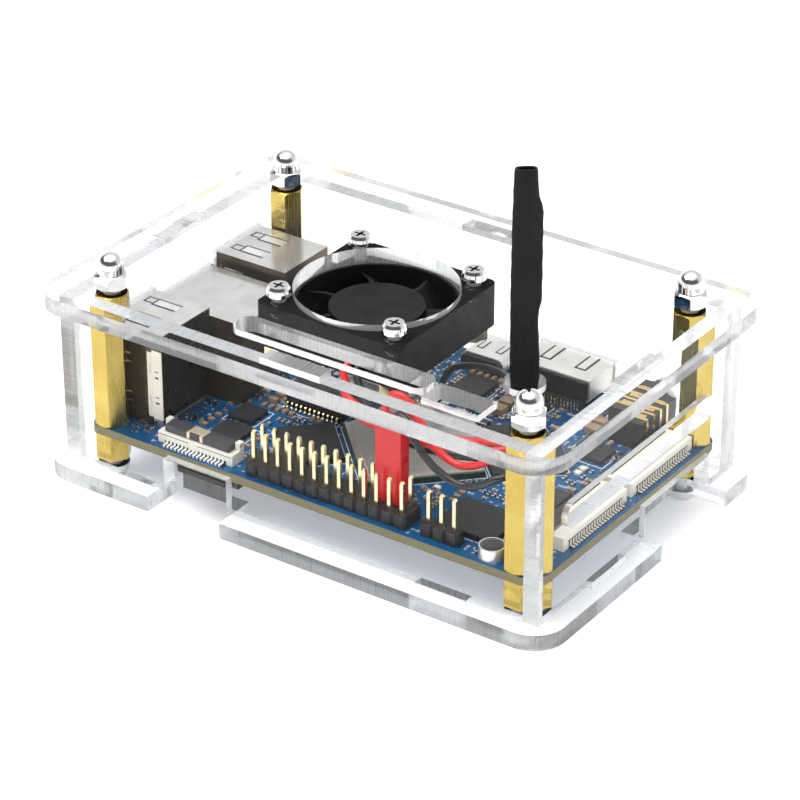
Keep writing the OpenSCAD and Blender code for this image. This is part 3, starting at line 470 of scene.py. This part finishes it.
class Solid:
    """Gathers closed shapes in board millimetres, then makes one piece of them."""

    def __init__(self):
        self.points, self.faces = [], []

    def add(self, points, faces):
        start = len(self.points)
        self.points += [tuple(p) for p in points]
        self.faces += [[start + i for i in face] for face in faces]

    def prism(self, outline, low, high, taper=0.0):
        """An outline, anticlockwise, between two heights; taper pulls the upper one in."""
        n = len(outline)
        cx, cy = (sum(p[k] for p in outline) / n for k in (0, 1))
        top = [(x + (cx - x) * taper, y + (cy - y) * taper, high) for x, y in outline]
        walls = [[i, (i + 1) % n, n + (i + 1) % n, n + i] for i in range(n)]
        faces = [list(range(n))[::-1], list(range(n, 2 * n)), *walls]
        self.add([(x, y, low) for x, y in outline] + top, faces)

    def block(self, low, high, taper=0.0):
        outline = [(low[0], low[1]), (high[0], low[1]), (high[0], high[1]), (low[0], high[1])]
        self.prism(outline, low[2], high[2], taper)

    def turned(self, centre, size, low, high, turn=0.0, taper=0.0):
        c, s = math.cos(math.radians(turn)), math.sin(math.radians(turn))
        corners = [(-0.5, -0.5), (0.5, -0.5), (0.5, 0.5), (-0.5, 0.5)]
        outline = [
            (centre[0] + c * u * size[0] - s * v * size[1], centre[1] + s * u * size[0] + c * v * size[1])
            for u, v in corners
        ]
        self.prism(outline, low, high, taper)

    def disc(self, centre, r, low, high, sides=24, taper=0.0):
        angles = [2 * math.pi * i / sides for i in range(sides)]
        ring = [(centre[0] + r * math.cos(t), centre[1] + r * math.sin(t)) for t in angles]
        self.prism(ring, low, high, taper)

    def loft(self, rings):
        """Closed skin over rings of equal point counts, from the first to the last."""
        n = len(rings[0])
        faces = [list(range(n))[::-1], [len(rings) * n - n + k for k in range(n)]]
        for i in range(len(rings) - 1):
            for k in range(n):
                a, b = i * n + k, i * n + (k + 1) % n
                faces.append([a, b, b + n, a + n])
        self.add([p for ring in rings for p in ring], faces)

    def sweep(self, path, half_w, half_t, across=(0, 0, 1)):
        """A flat bar along a path, half_w along the level side direction and half_t in the other."""
        rings = []
        for i, p in enumerate(path):
            p = Vector(p)
            d = (Vector(path[min(i + 1, len(path) - 1)]) - Vector(path[max(i - 1, 0)])).normalized()
            side = d.cross(Vector(across)).normalized()
            up = side.cross(d)
            corners = ((-1, -1), (1, -1), (1, 1), (-1, 1))
            rings.append([p + side * a * half_w + up * b * half_t for a, b in corners])
        self.loft(rings)

    def make(self, name, material, slot, body="case", bevel=0.0, smooth=None, replaces=()):
        mesh = bpy.data.meshes.new(name)
        mesh.from_pydata([at(*p) for p in self.points], [], self.faces)
        mesh.materials.append(M[material])
        mesh.validate()
        piece = bpy.data.objects.new(name, mesh)
        bpy.context.scene.collection.objects.link(piece)
        if bevel:
            made = piece.modifiers.new("edges", "BEVEL")
            made.width, made.segments, made.limit_method = bevel * MM, 2, "ANGLE"
        if smooth is not None:
            mesh.polygons.foreach_set("use_smooth", [True] * len(mesh.polygons))
            mesh.set_sharp_from_angle(angle=math.radians(smooth))
        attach(piece, body)
        if replaces:
            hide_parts(*replaces)
        return piece


def spline(points, steps):
    """A smooth path through all the points (centripetal enough for close, even points)."""
    pts = [Vector(p) for p in points]
    pts = [pts[0] * 2 - pts[1], *pts, pts[-1] * 2 - pts[-2]]
    out = []
    for i in range(1, len(pts) - 2):
        a, b, c, d = pts[i - 1:i + 3]
        for k in range(steps):
            t = k / steps
            square, cube = 2 * a - 5 * b + 4 * c - d, 3 * b - a - 3 * c + d
            out.append(0.5 * (2 * b + (c - a) * t + square * t * t + cube * t ** 3))
    return [*out, pts[-2]]


def tube(name, points, r, material, slot, sides=16, steps=5, replaces=()):
    path = spline(points, steps)
    solid = Solid()
    rings, side = [], None
    for i, p in enumerate(path):
        d = (path[min(i + 1, len(path) - 1)] - path[max(i - 1, 0)]).normalized()
        if side is None:
            side = d.orthogonal().normalized()
        side = (side - d * side.dot(d)).normalized()
        up = d.cross(side)
        rings.append([p + (side * math.cos(t) + up * math.sin(t)) * r
                      for t in (2 * math.pi * k / sides for k in range(sides))])
    solid.loft(rings)
    return solid.make(name, material, slot, smooth=60, replaces=replaces)


# ---------- Leads and antenna ----------

LEAD_R = 0.65
COAX_R = 0.6
ANTENNA = (79.7, 14.4)
ANTENNA_TURN = 35
RED_ROUTE = [
    (45.5, 14.5, 19.5), (45.5, 12.6, 19.2), (46, 10.8, 17), (48.5, 9.8, 14.2), (53, 9.2, 12.9),
    (58, 9, 12.5), (63, 8.9, 12.6), (68, 8.9, 13.2), (73, 9, 14), (77.5, 9, 15),
    (81, 8.7, 15.9), (82.8, 7.4, 16.6), (82.4, 5.9, 16.8), (80, 5.2, 16), (77, 5.1, 14.2),
    (74, 5.1, 13.4), (71, 5.2, 14.1), (68, 5.3, 15.8), (65, 5.3, 18), (62.4, 5, 19.9),
    (60.4, 4.95, 19.9), (59.7, 4.99, 18.6), (59.7, 4.99, 15.6),
]
BLACK_ROUTE = [
    (47.3, 14.5, 19.3), (47.3, 13, 18.8), (47.8, 12, 16.6), (50, 11.4, 13.6), (54.5, 10.9, 11.4),
    (59.5, 10.6, 10.6), (64.5, 10.5, 10.6), (69.5, 10.5, 11.2), (74.5, 10.7, 12.2), (79, 10.7, 13.4),
    (82.6, 10.1, 14), (84.6, 8.2, 14.4), (84.3, 5.6, 14.6), (82, 3.5, 14), (79, 3.1, 12),
    (75.5, 3, 11.2), (72, 3, 12.2), (69, 3.1, 14), (66.6, 3.4, 16.2), (64.6, 3.8, 17.6),
    (62.9, 4.5, 17.8), (62.24, 4.99, 16.9), (62.24, 4.99, 15.6),
]
COAX_ROUTE = [
    (46, 35.4, 2.2), (47.6, 35.4, 2.4), (49.4, 34.9, 4.4), (51.2, 33.8, 7.4), (54.2, 32.2, 10.8),
    (58.6, 30.6, 13.2), (63.2, 29.4, 14.6), (67.6, 27, 15.8), (71.8, 24, 16.8), (75.6, 20.6, 17.6),
    (78.2, 17.8, 18.6), (79.6, 15.5, 20.4), (79.7, 14.5, 22.6), (79.7, 14.4, 25.2),
]
tube("red_lead", RED_ROUTE, LEAD_R, "lead_red", "lead_red", replaces=["fan_lead_red"])
tube("black_lead", BLACK_ROUTE, LEAD_R, "lead_black", "lead_black", replaces=["fan_lead_black"])
tube("coax", COAX_ROUTE, COAX_R, "coax", "lead_black", replaces=["antenna_coax"])


def antenna_sleeve():
    """Heat-shrunk tube over a flat strip: rounded, pinched where the strip's parts end, open at the top."""
    turn = math.radians(ANTENNA_TURN)
    across = Vector((math.cos(turn), math.sin(turn), 0))
    deep = Vector((-math.sin(turn), math.cos(turn), 0))
    # height, half widths to the left and right, half thickness
    profile = [
        (24.0, 1.9, 1.9, 0.95), (24.3, 2.25, 2.2, 0.95), (27, 2.45, 2.4, 0.92), (31, 2.5, 2.3, 0.88),
        (35, 2.5, 2.1, 0.86), (37.6, 2.52, 2.0, 0.86), (39.0, 2.55, 2.12, 0.88), (40.4, 2.56, 2.5, 0.9),
        (45, 2.55, 2.55, 0.92), (50, 2.5, 2.5, 0.94), (53, 2.5, 2.52, 0.94), (56.3, 2.45, 2.5, 0.94),
        (57.8, 2.4, 2.3, 0.93), (59.0, 2.38, 1.85, 0.9), (60.2, 2.36, 1.68, 0.88), (62, 2.32, 1.6, 0.9),
        (63.6, 2.26, 1.5, 0.92), (64.0, 2.16, 1.4, 0.86),
    ]
    sides = 36
    centre = Vector((*ANTENNA, 0))

    def ring(z, left, right, thick, shrink=0.0):
        out = []
        for k in range(sides):
            t = 2 * math.pi * k / sides
            c, s = math.cos(t), math.sin(t)
            w = (right if c > 0 else left) - shrink
            u = math.copysign(abs(c) ** 0.75, c) * w
            v = math.copysign(abs(s) ** 0.85, s) * (thick - shrink)
            wobble = 0.03 * math.sin(z * 1.7 + 3 * t) * (1 if 25 < z < 63 else 0)
            out.append(centre + across * (u + wobble) + deep * v + Vector((0, 0, z)))
        return out

    rings = []
    for (z0, *a), (z1, *b) in zip(profile, profile[1:]):
        count = max(1, round((z1 - z0) / 0.8))
        for i in range(count):
            t = i / count
            rings.append(ring(z0 + (z1 - z0) * t, *[p + (q - p) * t for p, q in zip(a, b)]))
    last = profile[-1]
    rings.append(ring(*last))
    rings += [ring(z, *last[1:], shrink=0.34) for z in (63.95, 62.5, 60.5)]
    solid = Solid()
    solid.loft(rings)
    solid.make("shrink_sleeve", "shrink", "sleeve_black", smooth=50, replaces=["antenna_sleeve"])


antenna_sleeve()

# ---------- Board details ----------

PITCH = 2.54
HEADER_FIRST = (34.3, 2.45)
SERIAL_FIRST = (69.9, 2.8)
BOARD_UNDER = -1.6
INK = 0.025
STROKE_STEP = 0.42
STROKE_W = 0.15
PART_GAP = 0.22
EXPANSION_CORNER = (14, 1.8)
DISPLAY_X = 82.6
DISPLAY_CENTRES = (19, 40.3)
DISPLAY_HALF = 9.9
MICROPHONE = (82.3, 2.8)
SOC = ((52.5, 23.5), (21, 21), 45)
RAM = [((36.8, 14.7), (10.5, 12.5), 45), ((68.2, 31.7), (10.5, 12.5), 45)]
FLASH = ((74.8, 10.2), (11.5, 9.6), 0)
LEADED = [((30.5, 27.2), (11.6, 5.2), 12), ((63, 43.5), (5, 4), 5)]
FLAT_CHIPS = [((23, 10.6), 6, 10), ((78.3, 21.6), 6, 10), ((77, 39), 5, 8), ((50.5, 44), 6, 10),
              ((21.5, 17.5), 5, 8)]


def turned_point(centre, turn, u, v):
    c, s = math.cos(math.radians(turn)), math.sin(math.radians(turn))
    return centre[0] + c * u - s * v, centre[1] + s * u + c * v


def board_scan():
    """Rays straight down onto the CAD parts, to find bare board."""
    points, faces = [], []
    for name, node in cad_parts.items():
        if name.endswith("_plate"):
            continue
        start = len(points)
        points += [node.matrix_world @ v.co for v in node.data.vertices]
        faces += [[start + i for i in f.vertices] for f in node.data.polygons]
    tree = BVHTree.FromPolygons(points, faces)

    def bare(x, y):
        hit = tree.ray_cast(at(x, y, 3), Vector((0, 0, -1)))[0]
        return hit is not None and abs(hit.z - at(0, 0, 0).z) < 0.00002

    return bare


bare = board_scan()


def free_patch(x, y, w, d, margin=0.25):
    if not (0.6 < x - w / 2 and x + w / 2 < 90.4 and 0.6 < y - d / 2 and y + d / 2 < 55.4):
        return False
    across, along = w / 2 + margin, d / 2 + margin
    return all(bare(x + i * across, y + j * along) for i in (-1, 0, 1) for j in (-1, 0, 1))


def surface_parts():
    """Rows of small resistors, capacitors and coils wherever the board is bare, each on tinned ends."""
    bodies = {"ceramic": Solid(), "resistor": Solid(), "ivory": Solid()}
    ends, marks, round_pads = Solid(), Solid(), Solid()
    kinds = [
        ("ceramic", 1.0, 0.55, 0.5), ("ceramic", 1.0, 0.55, 0.5), ("resistor", 1.0, 0.55, 0.35),
        ("resistor", 1.0, 0.55, 0.35), ("ceramic", 1.6, 0.85, 0.75), ("resistor", 1.6, 0.85, 0.45),
        ("ivory", 1.5, 1.2, 0.5), ("resistor", 2.0, 1.6, 0.9),
    ]
    used = []

    def clear_of(x, y, w, d):
        return all(abs(x - u[0]) > (w + u[2]) / 2 + PART_GAP or abs(y - u[1]) > (d + u[3]) / 2 + PART_GAP
                   for u in used)

    for _ in range(900):
        kind, length, width, height = rng.choice(kinds[:6] if rng.random() < 0.86 else kinds[6:])
        cx, cy = rng.uniform(1, 90), rng.uniform(1, 55)
        stand = rng.random() < 0.5
        count = rng.choice((1, 2, 3, 4, 5)) if length < 1.4 else rng.choice((1, 2))
        for i in range(count):
            x = cx + (i * (width + 0.5) if stand else 0)
            y = cy + (0 if stand else i * (width + 0.5))
            w, d = (width, length) if stand else (length, width)
            if x > 81.5 or not clear_of(x, y, w, d) or not free_patch(x, y, w, d):
                continue
            used.append((x, y, w, d))
            cap = 0.24 * length / 1.0 if length < 1.4 else 0.3
            if stand:
                inner = ((x - w / 2, y - d / 2 + cap, 0), (x + w / 2, y + d / 2 - cap, height))
                parts = [(x - w / 2, y - d / 2, w, cap), (x - w / 2, y + d / 2 - cap, w, cap)]
            else:
                inner = ((x - w / 2 + cap, y - d / 2, 0), (x + w / 2 - cap, y + d / 2, height))
                parts = [(x - w / 2, y - d / 2, cap, d), (x + w / 2 - cap, y - d / 2, cap, d)]
            bodies[kind].block(*inner, 0.04)
            for px, py, pw, pd in parts:
                ends.block((px - 0.03, py - 0.03, 0), (px + pw + 0.03, py + pd + 0.03, height + 0.03), 0.05)
    # printed ticks and strokes beside the parts
    for _ in range(1700):
        x, y = rng.uniform(1, 89), rng.uniform(1, 55)
        stand = rng.random() < 0.5
        strokes = rng.choice((1, 2, 3, 4))
        w, d = (0.8, STROKE_STEP * strokes) if stand else (STROKE_STEP * strokes, 0.8)
        if clear_of(x, y, w, d) and free_patch(x, y, w, d, 0.1):
            used.append((x, y, w, d))
            for i in range(strokes):
                size = rng.uniform(0.35, 0.75)
                if stand:
                    start = y - d / 2 + i * STROKE_STEP
                    marks.block((x - size / 2, start, 0), (x + size / 2, start + STROKE_W, INK))
                else:
                    start = x - w / 2 + i * STROKE_STEP
                    marks.block((start, y - size / 2, 0), (start + STROKE_W, y + size / 2, INK))
    # tinned round pads
    for _ in range(800):
        x, y, r = rng.uniform(1, 90), rng.uniform(1, 55), rng.choice((0.22, 0.3, 0.45))
        if clear_of(x, y, 2 * r, 2 * r) and free_patch(x, y, 2 * r, 2 * r, 0.05):
            used.append((x, y, 2 * r, 2 * r))
            round_pads.disc((x, y), r, 0, 0.03, 12)
    bodies["ceramic"].make("small_capacitors", "ceramic", "passive_tan", bevel=0.03)
    bodies["resistor"].make("small_resistors", "resistor", "chip_black", bevel=0.03)
    bodies["ivory"].make("small_crystals", "ivory", "socket_ivory", bevel=0.05)
    ends.make("solder_ends", "tin", "can_metal", bevel=0.03)
    marks.make("printed_strokes", "silk", "socket_ivory")
    round_pads.make("tinned_pads", "tin", "can_metal")


def printed_outlines():
    solid = Solid()

    def outline(centre, size, turn, gap=0.45, line=0.16):
        w, d = size[0] / 2 + gap, size[1] / 2 + gap
        sides = ((0, -d, 2 * w, line), (0, d, 2 * w, line), (-w, 0, line, 2 * d), (w, 0, line, 2 * d))
        for u, v, a, b in sides:
            solid.turned(turned_point(centre, turn, u, v), (a, b), 0, INK, turn)

    outline(*SOC, gap=0.35)
    for item in RAM:
        outline(*item, gap=0.35)
    outline(*FLASH)
    for centre, size, _ in LEADED:
        outline(centre, (size[0] + 0.4, size[1] + 3.2), 0, 0.1)
    for centre, size, _ in FLAT_CHIPS:
        outline(centre, (size, size), 0, 0.75)
    outline((35, 38.7), (12, 12), 0)
    outline((46, 35.4), (3, 3), 0)
    solid.make("printed_outlines", "silk", "socket_ivory")


def gull_lead(solid, x, y, dx, dy, z, reach=0.95, half=0.15):
    """A bent lead from (x, y) at height z, out along (dx, dy) and down to the board."""
    path = [(0, z), (0.3, z), (0.45, z - 0.1), (0.52, 0.22), (0.65, 0.1), (reach + 0.15, 0.08)]
    solid.sweep([(x + dx * t, y + dy * t, h) for t, h in path], half, 0.07)


def chip_leads():
    solid, flat = Solid(), Solid()
    for (cx, cy), (w, d), count in LEADED:
        pitch = (w - 1) / (count - 1)
        for i in range(count):
            x = cx - (w - 1) / 2 + i * pitch
            gull_lead(solid, x, cy - d / 2, 0, -1, 1.0)
            gull_lead(solid, x, cy + d / 2, 0, 1, 1.0)
    for (cx, cy), size, count in FLAT_CHIPS:
        half = size / 2
        for i in range(count):
            t = (i - (count - 1) / 2) * 0.5
            for x, y, w, d in ((cx + t, cy - half - 0.15, 0.24, 0.5), (cx + t, cy + half + 0.15, 0.24, 0.5),
                               (cx - half - 0.15, cy + t, 0.5, 0.24), (cx + half + 0.15, cy + t, 0.5, 0.24)):
                flat.block((x - w / 2, y - d / 2, 0), (x + w / 2, y + d / 2, 0.12), 0.1)
    solid.make("gull_leads", "gold", "pin_gold", smooth=30)
    flat.make("flat_leads", "tin", "can_metal")


def under_side():
    """Solder cones round the header tails and a few parts under the board."""
    solid = Solid()
    tails = [(HEADER_FIRST[0] + i * PITCH, HEADER_FIRST[1] + j * PITCH) for i in range(13) for j in (0, 1)]
    tails += [(SERIAL_FIRST[0] + i * PITCH, SERIAL_FIRST[1]) for i in range(3)]
    for x, y in tails:
        rings = []
        for r, z in ((0.95, BOARD_UNDER), (0.9, -1.7), (0.62, -1.95), (0.42, -2.35), (0.36, -2.6)):
            rings.append([(x + r * math.cos(k * math.pi / 6), y + r * math.sin(k * math.pi / 6), z)
                          for k in range(12)][::-1])
        solid.loft(rings)
    for i in range(4):
        for x, y in ((8 + i * 2.3, 9), (8 + i * 2.3, 16)):
            solid.disc((x, y), 0.7, -2.3, BOARD_UNDER, 12)
    for i in range(8):
        solid.disc((13.2 + (i % 2) * 2.2, 22.5 + i * 1.4), 0.6, -2.2, BOARD_UNDER, 12)
    solid.make("solder_cones", "tin", "can_metal", smooth=40)


# ---------- Socket details ----------

def expansion_details():
    leads, strip, clip = Solid(), Solid(), Solid()
    x0, y0 = EXPANSION_CORNER
    strip.block((x0 + 1.6, y0 - 1.1, 0), (x0 + 14.6, y0 + 0.02, 0.3))
    strip.block((x0 + 1.6, y0 - 0.06, 0.3), (x0 + 14.6, y0 + 0.02, 0.75))
    for i in range(16):
        x = x0 + 1.85 + i * 0.8
        leads.block((x, y0 - 1.2, 0), (x + 0.4, y0 + 0.01, 0.42), 0.02)
        leads.block((x, y0 - 0.12, 0.3), (x + 0.4, y0 + 0.01, 0.85))
    strip.block((x0 + 0.2, y0 - 0.02, 1.62), (x0 + 15.8, y0 + 0.02, 1.72))
    leads.make("expansion_leads", "silk", "socket_ivory")
    strip.make("expansion_shadow_strip", "header", "header_black")
    cx = x0 + 7.6
    clip.block((cx - 1.7, y0 + 0.95, 3.4), (cx + 1.7, y0 + 3.0, 3.52), 0.04)
    clip.block((cx - 1.7, y0 + 0.42, 2.3), (cx - 1.1, y0 + 0.5, 3.46))
    clip.block((cx + 1.1, y0 + 0.42, 2.3), (cx + 1.7, y0 + 0.5, 3.46))
    clip.block((cx - 1.7, y0 + 0.42, 3.38), (cx - 1.1, y0 + 1.1, 3.5))
    clip.block((cx + 1.1, y0 + 0.42, 3.38), (cx + 1.7, y0 + 1.1, 3.5))
    clip.make("expansion_clip", "clip", "bearing_bronze", body="expansion_latch", bevel=0.03)
    tab = Solid()
    tab.block((cx - 1.0, y0 - 0.12, 0.5), (cx + 1.0, y0 + 0.02, 2.1), 0.03)
    tab.make("expansion_tab", "ivory", "socket_ivory", bevel=0.04)


def display_details():
    dark, leads, slit_shade, teeth = Solid(), Solid(), Solid(), Solid()
    for y in DISPLAY_CENTRES:
        low, high = y - DISPLAY_HALF, y + DISPLAY_HALF
        x = DISPLAY_X + 3.7
        dark.block((x + 2.98, low + 1.6, 0.01), (x + 3.82, high - 1.6, 0.3))
        dark.block((x + 2.98, low + 1.7, 0.3), (x + 3.08, high - 1.7, 1.35))
        for i in range(20):
            a = low + 1.9 + i * 0.82
            teeth.block((x + 2.98, a, 0.2), (x + 3.86, a + 0.36, 0.42), 0.02)
            teeth.block((x + 2.98, a, 0.3), (x + 3.16, a + 0.36, 1.4))
        # painted shade: a thin dark strip on top of each socket stands in for the shade in its slit
        slit_shade.block((x + 0.1, low + 1.0, 2.44), (x + 0.35, high - 1.0, 2.53))
        for s in (low + 0.25, high - 0.85):
            leads.block((x + 1.0, s, 0), (x + 2.4, s + 0.6, 0.32))
    dark.make("display_shadow_strips", "header", "header_black")
    leads.make("display_leads", "tin", "can_metal")
    teeth.make("display_teeth", "ivory", "socket_ivory")
    slit_shade.make("display_slit_shade", "header", "header_black")


def shell_springs():
    """Pressed spring tongues on the tops of the sockets' shells; the gap round each is a dark sheet of
    painted shade, dark blue above the blue inserts.
    """
    gap_shade, tongues, blue = Solid(), Solid(), Solid()
    places = [
        (2.4, 7.6, 39.2, 41.9, 15.6, "x"), (2.4, 7.6, 44.7, 47.4, 15.6, "x"),
        (2.4, 7.6, 8.1, 10.6, 15.6, "x"), (2.4, 7.6, 13.8, 16.3, 15.6, "x"),
        (59.2, 61.6, 51.4, 56.6, 6.0, "y"), (66.4, 68.8, 51.4, 56.6, 6.0, "y"),
        (45.3, 46.7, 52.4, 55.4, 3.3, "y"), (49.3, 50.7, 52.4, 55.4, 3.3, "y"),
    ]
    for x0, x1, y0, y1, z, along in places:
        # painted shade: dark sheets fill the gaps, dark blue ones above the blue inserts
        (blue if z > 15 else gap_shade).block((x0, y0, z - 0.05), (x1, y1, z + 0.03))
        inset = 0.42 if z > 5 else 0.28
        if along == "x":
            tongues.block((x0 + inset, y0 + inset, z), (x1 + 0.02, y1 - inset, z + 0.09))
        else:
            tongues.block((x0 + inset, y0 + inset, z), (x1 - inset, y1 + 0.02, z + 0.09))
    gap_shade.make("spring_gap_shade", "header", "header_black")
    blue.make("spring_windows_shaded", "window", "port_blue")
    tongues.make("spring_tongues", "port_y", "port_metal", bevel=0.03)


def socket_trims():
    ivory, dark, feet, gold = Solid(), Solid(), Solid(), Solid()
    # ivory housing edge showing beside the front stacked socket
    ivory.block((10.1, 5.5, 1.6), (12.2, 5.72, 14.9))
    for z in (4.6, 9.6):
        dark.block((10.7, 5.46, z), (11.5, 5.52, z + 0.35))
        dark.block((10.7, 5.46, z + 1.2), (11.5, 5.52, z + 1.4))
    feet.block((10.2, 5.46, 0), (12.1, 5.74, 1.6))
    # pins and black foot of the video socket
    dark.block((57.2, 47.0, 0), (70.8, 48.5, 2.0), 0.0)
    for i in range(19):
        feet.block((57.7 + i * 0.68, 46.1, 0), (58.0 + i * 0.68, 47.05, 0.22))
        feet.block((57.7 + i * 0.68, 46.94, 0.5), (57.98 + i * 0.68, 47.02, 1.8))
    dark.block((44.1, 49.6, 0), (51.9, 50.35, 1.2))
    for i in range(12):
        feet.block((44.5 + i * 0.62, 48.95, 0), (44.78 + i * 0.62, 49.65, 0.18))
    # gold springs over the audio socket
    for i in range(4):
        y = 46.2 + i * 2.2
        gold.block((75.8, y, 0.6), (75.92, y + 0.7, 5.28))
        gold.block((75.8, y, 5.18), (82.56, y + 0.7, 5.3))
        gold.block((82.48, y, 0.6), (82.6, y + 0.7, 5.28))
    ivory.make("stacked_socket_edge", "ivory", "socket_ivory", bevel=0.05)
    dark.make("socket_feet_black", "header", "header_black", bevel=0.03)
    feet.make("socket_leads", "tin", "can_metal")
    gold.make("audio_springs", "gold", "contact_gold", bevel=0.02)


def microphone_felt():
    solid = Solid()
    rings = []
    for r, z in ((1.97, 2.1), (1.97, 2.26), (1.8, 2.38), (1.2, 2.43), (0.4, 2.44)):
        rings.append([(MICROPHONE[0] + r * math.cos(k * math.pi / 14),
                       MICROPHONE[1] + r * math.sin(k * math.pi / 14), z) for k in range(28)])
    solid.loft(rings)
    solid.make("microphone_felt", "felt", "header_black", smooth=60)


surface_parts()
printed_outlines()
chip_leads()
under_side()
expansion_details()
display_details()
shell_springs()
socket_trims()
microphone_felt()

# ---------- Floor, light, world ----------

FLOOR_REACH = 4.0

def area_light(name, place, aim, size, power, shines=True):
    data = bpy.data.lights.new(name, "AREA")
    data.shape, data.size, data.size_y = "RECTANGLE", *size
    data.energy = power
    lamp = bpy.data.objects.new(name, data)
    bpy.context.scene.collection.objects.link(lamp)
    lamp.visible_glossy = shines
    place, aim = Vector(place), Vector(aim)
    turn = (aim - place).to_track_quat("-Z", "Y").to_matrix().to_4x4()
    lamp.matrix_world = Matrix.Translation(place) @ turn


def make_studio():
    bpy.context.scene.view_settings.view_transform = "Standard"
    mesh = bpy.data.meshes.new("floor")
    corners = [(x * FLOOR_REACH, y * FLOOR_REACH, 0) for x, y in ((-1, -1), (1, -1), (1, 1), (-1, 1))]
    mesh.from_pydata(corners, [], [[0, 1, 2, 3]])
    paper = surface("floor_paper", (0.9, 0.9, 0.9), 0.8, vary=0.01, patch=3, grain=900, depth=0.02)
    glow = paper.node_tree.nodes["Principled BSDF"].inputs
    glow["Emission Color"].default_value = (1, 1, 1, 1)
    glow["Emission Strength"].default_value = 0.28
    mesh.materials.append(paper)
    floor = bpy.data.objects.new("floor", mesh)
    bpy.context.scene.collection.objects.link(floor)
    world = bpy.data.worlds.new("studio")
    bpy.context.scene.world = world
    world.use_nodes = True
    tree = world.node_tree
    background = tree.nodes["Background"]
    place = tree.nodes.new("ShaderNodeTexCoord").outputs["Generated"]
    axes = tree.nodes.new("ShaderNodeSeparateXYZ")
    tree.links.new(place, axes.inputs[0])
    bands = []
    for middle in (0.12, 0.72):
        ramp = tree.nodes.new("ShaderNodeValToRGB")
        tree.links.new(axes.outputs[2], ramp.inputs[0])
        stops = ramp.color_ramp.elements
        stops[0].position, stops[0].color = 0.2, (1.1, 1.1, 1.1, 1)
        stops[1].position, stops[1].color = 1.0, (1.4, 1.4, 1.4, 1)
        for position, value in ((0.34, middle), (0.72, middle), (0.86, 1.2)):
            stop = stops.new(position)
            stop.color = (value, value, value * 1.01, 1)
        bands.append(ramp.outputs[0])
    rear = tree.nodes.new("ShaderNodeMapRange")
    rear.interpolation_type = "SMOOTHSTEP"
    tree.links.new(axes.outputs[1], rear.inputs["Value"])
    rear.inputs["From Min"].default_value = -0.1
    rear.inputs["From Max"].default_value = 0.45
    both = tree.nodes.new("ShaderNodeMix")
    both.data_type = "RGBA"
    tree.links.new(rear.outputs["Result"], both.inputs["Factor"])
    tree.links.new(bands[0], both.inputs[6])
    tree.links.new(bands[1], both.inputs[7])
    tree.links.new(both.outputs[2], background.inputs["Color"])
    background.inputs["Strength"].default_value = 1.0
    area_light("key", (-0.3, -0.2, 0.8), (0, 0, 0.02), (0.6, 0.6), 6.5)
    area_light("fill", (0.6, -0.7, 0.5), (0, 0, 0.03), (0.35, 0.35), 2, shines=False)


make_studio()
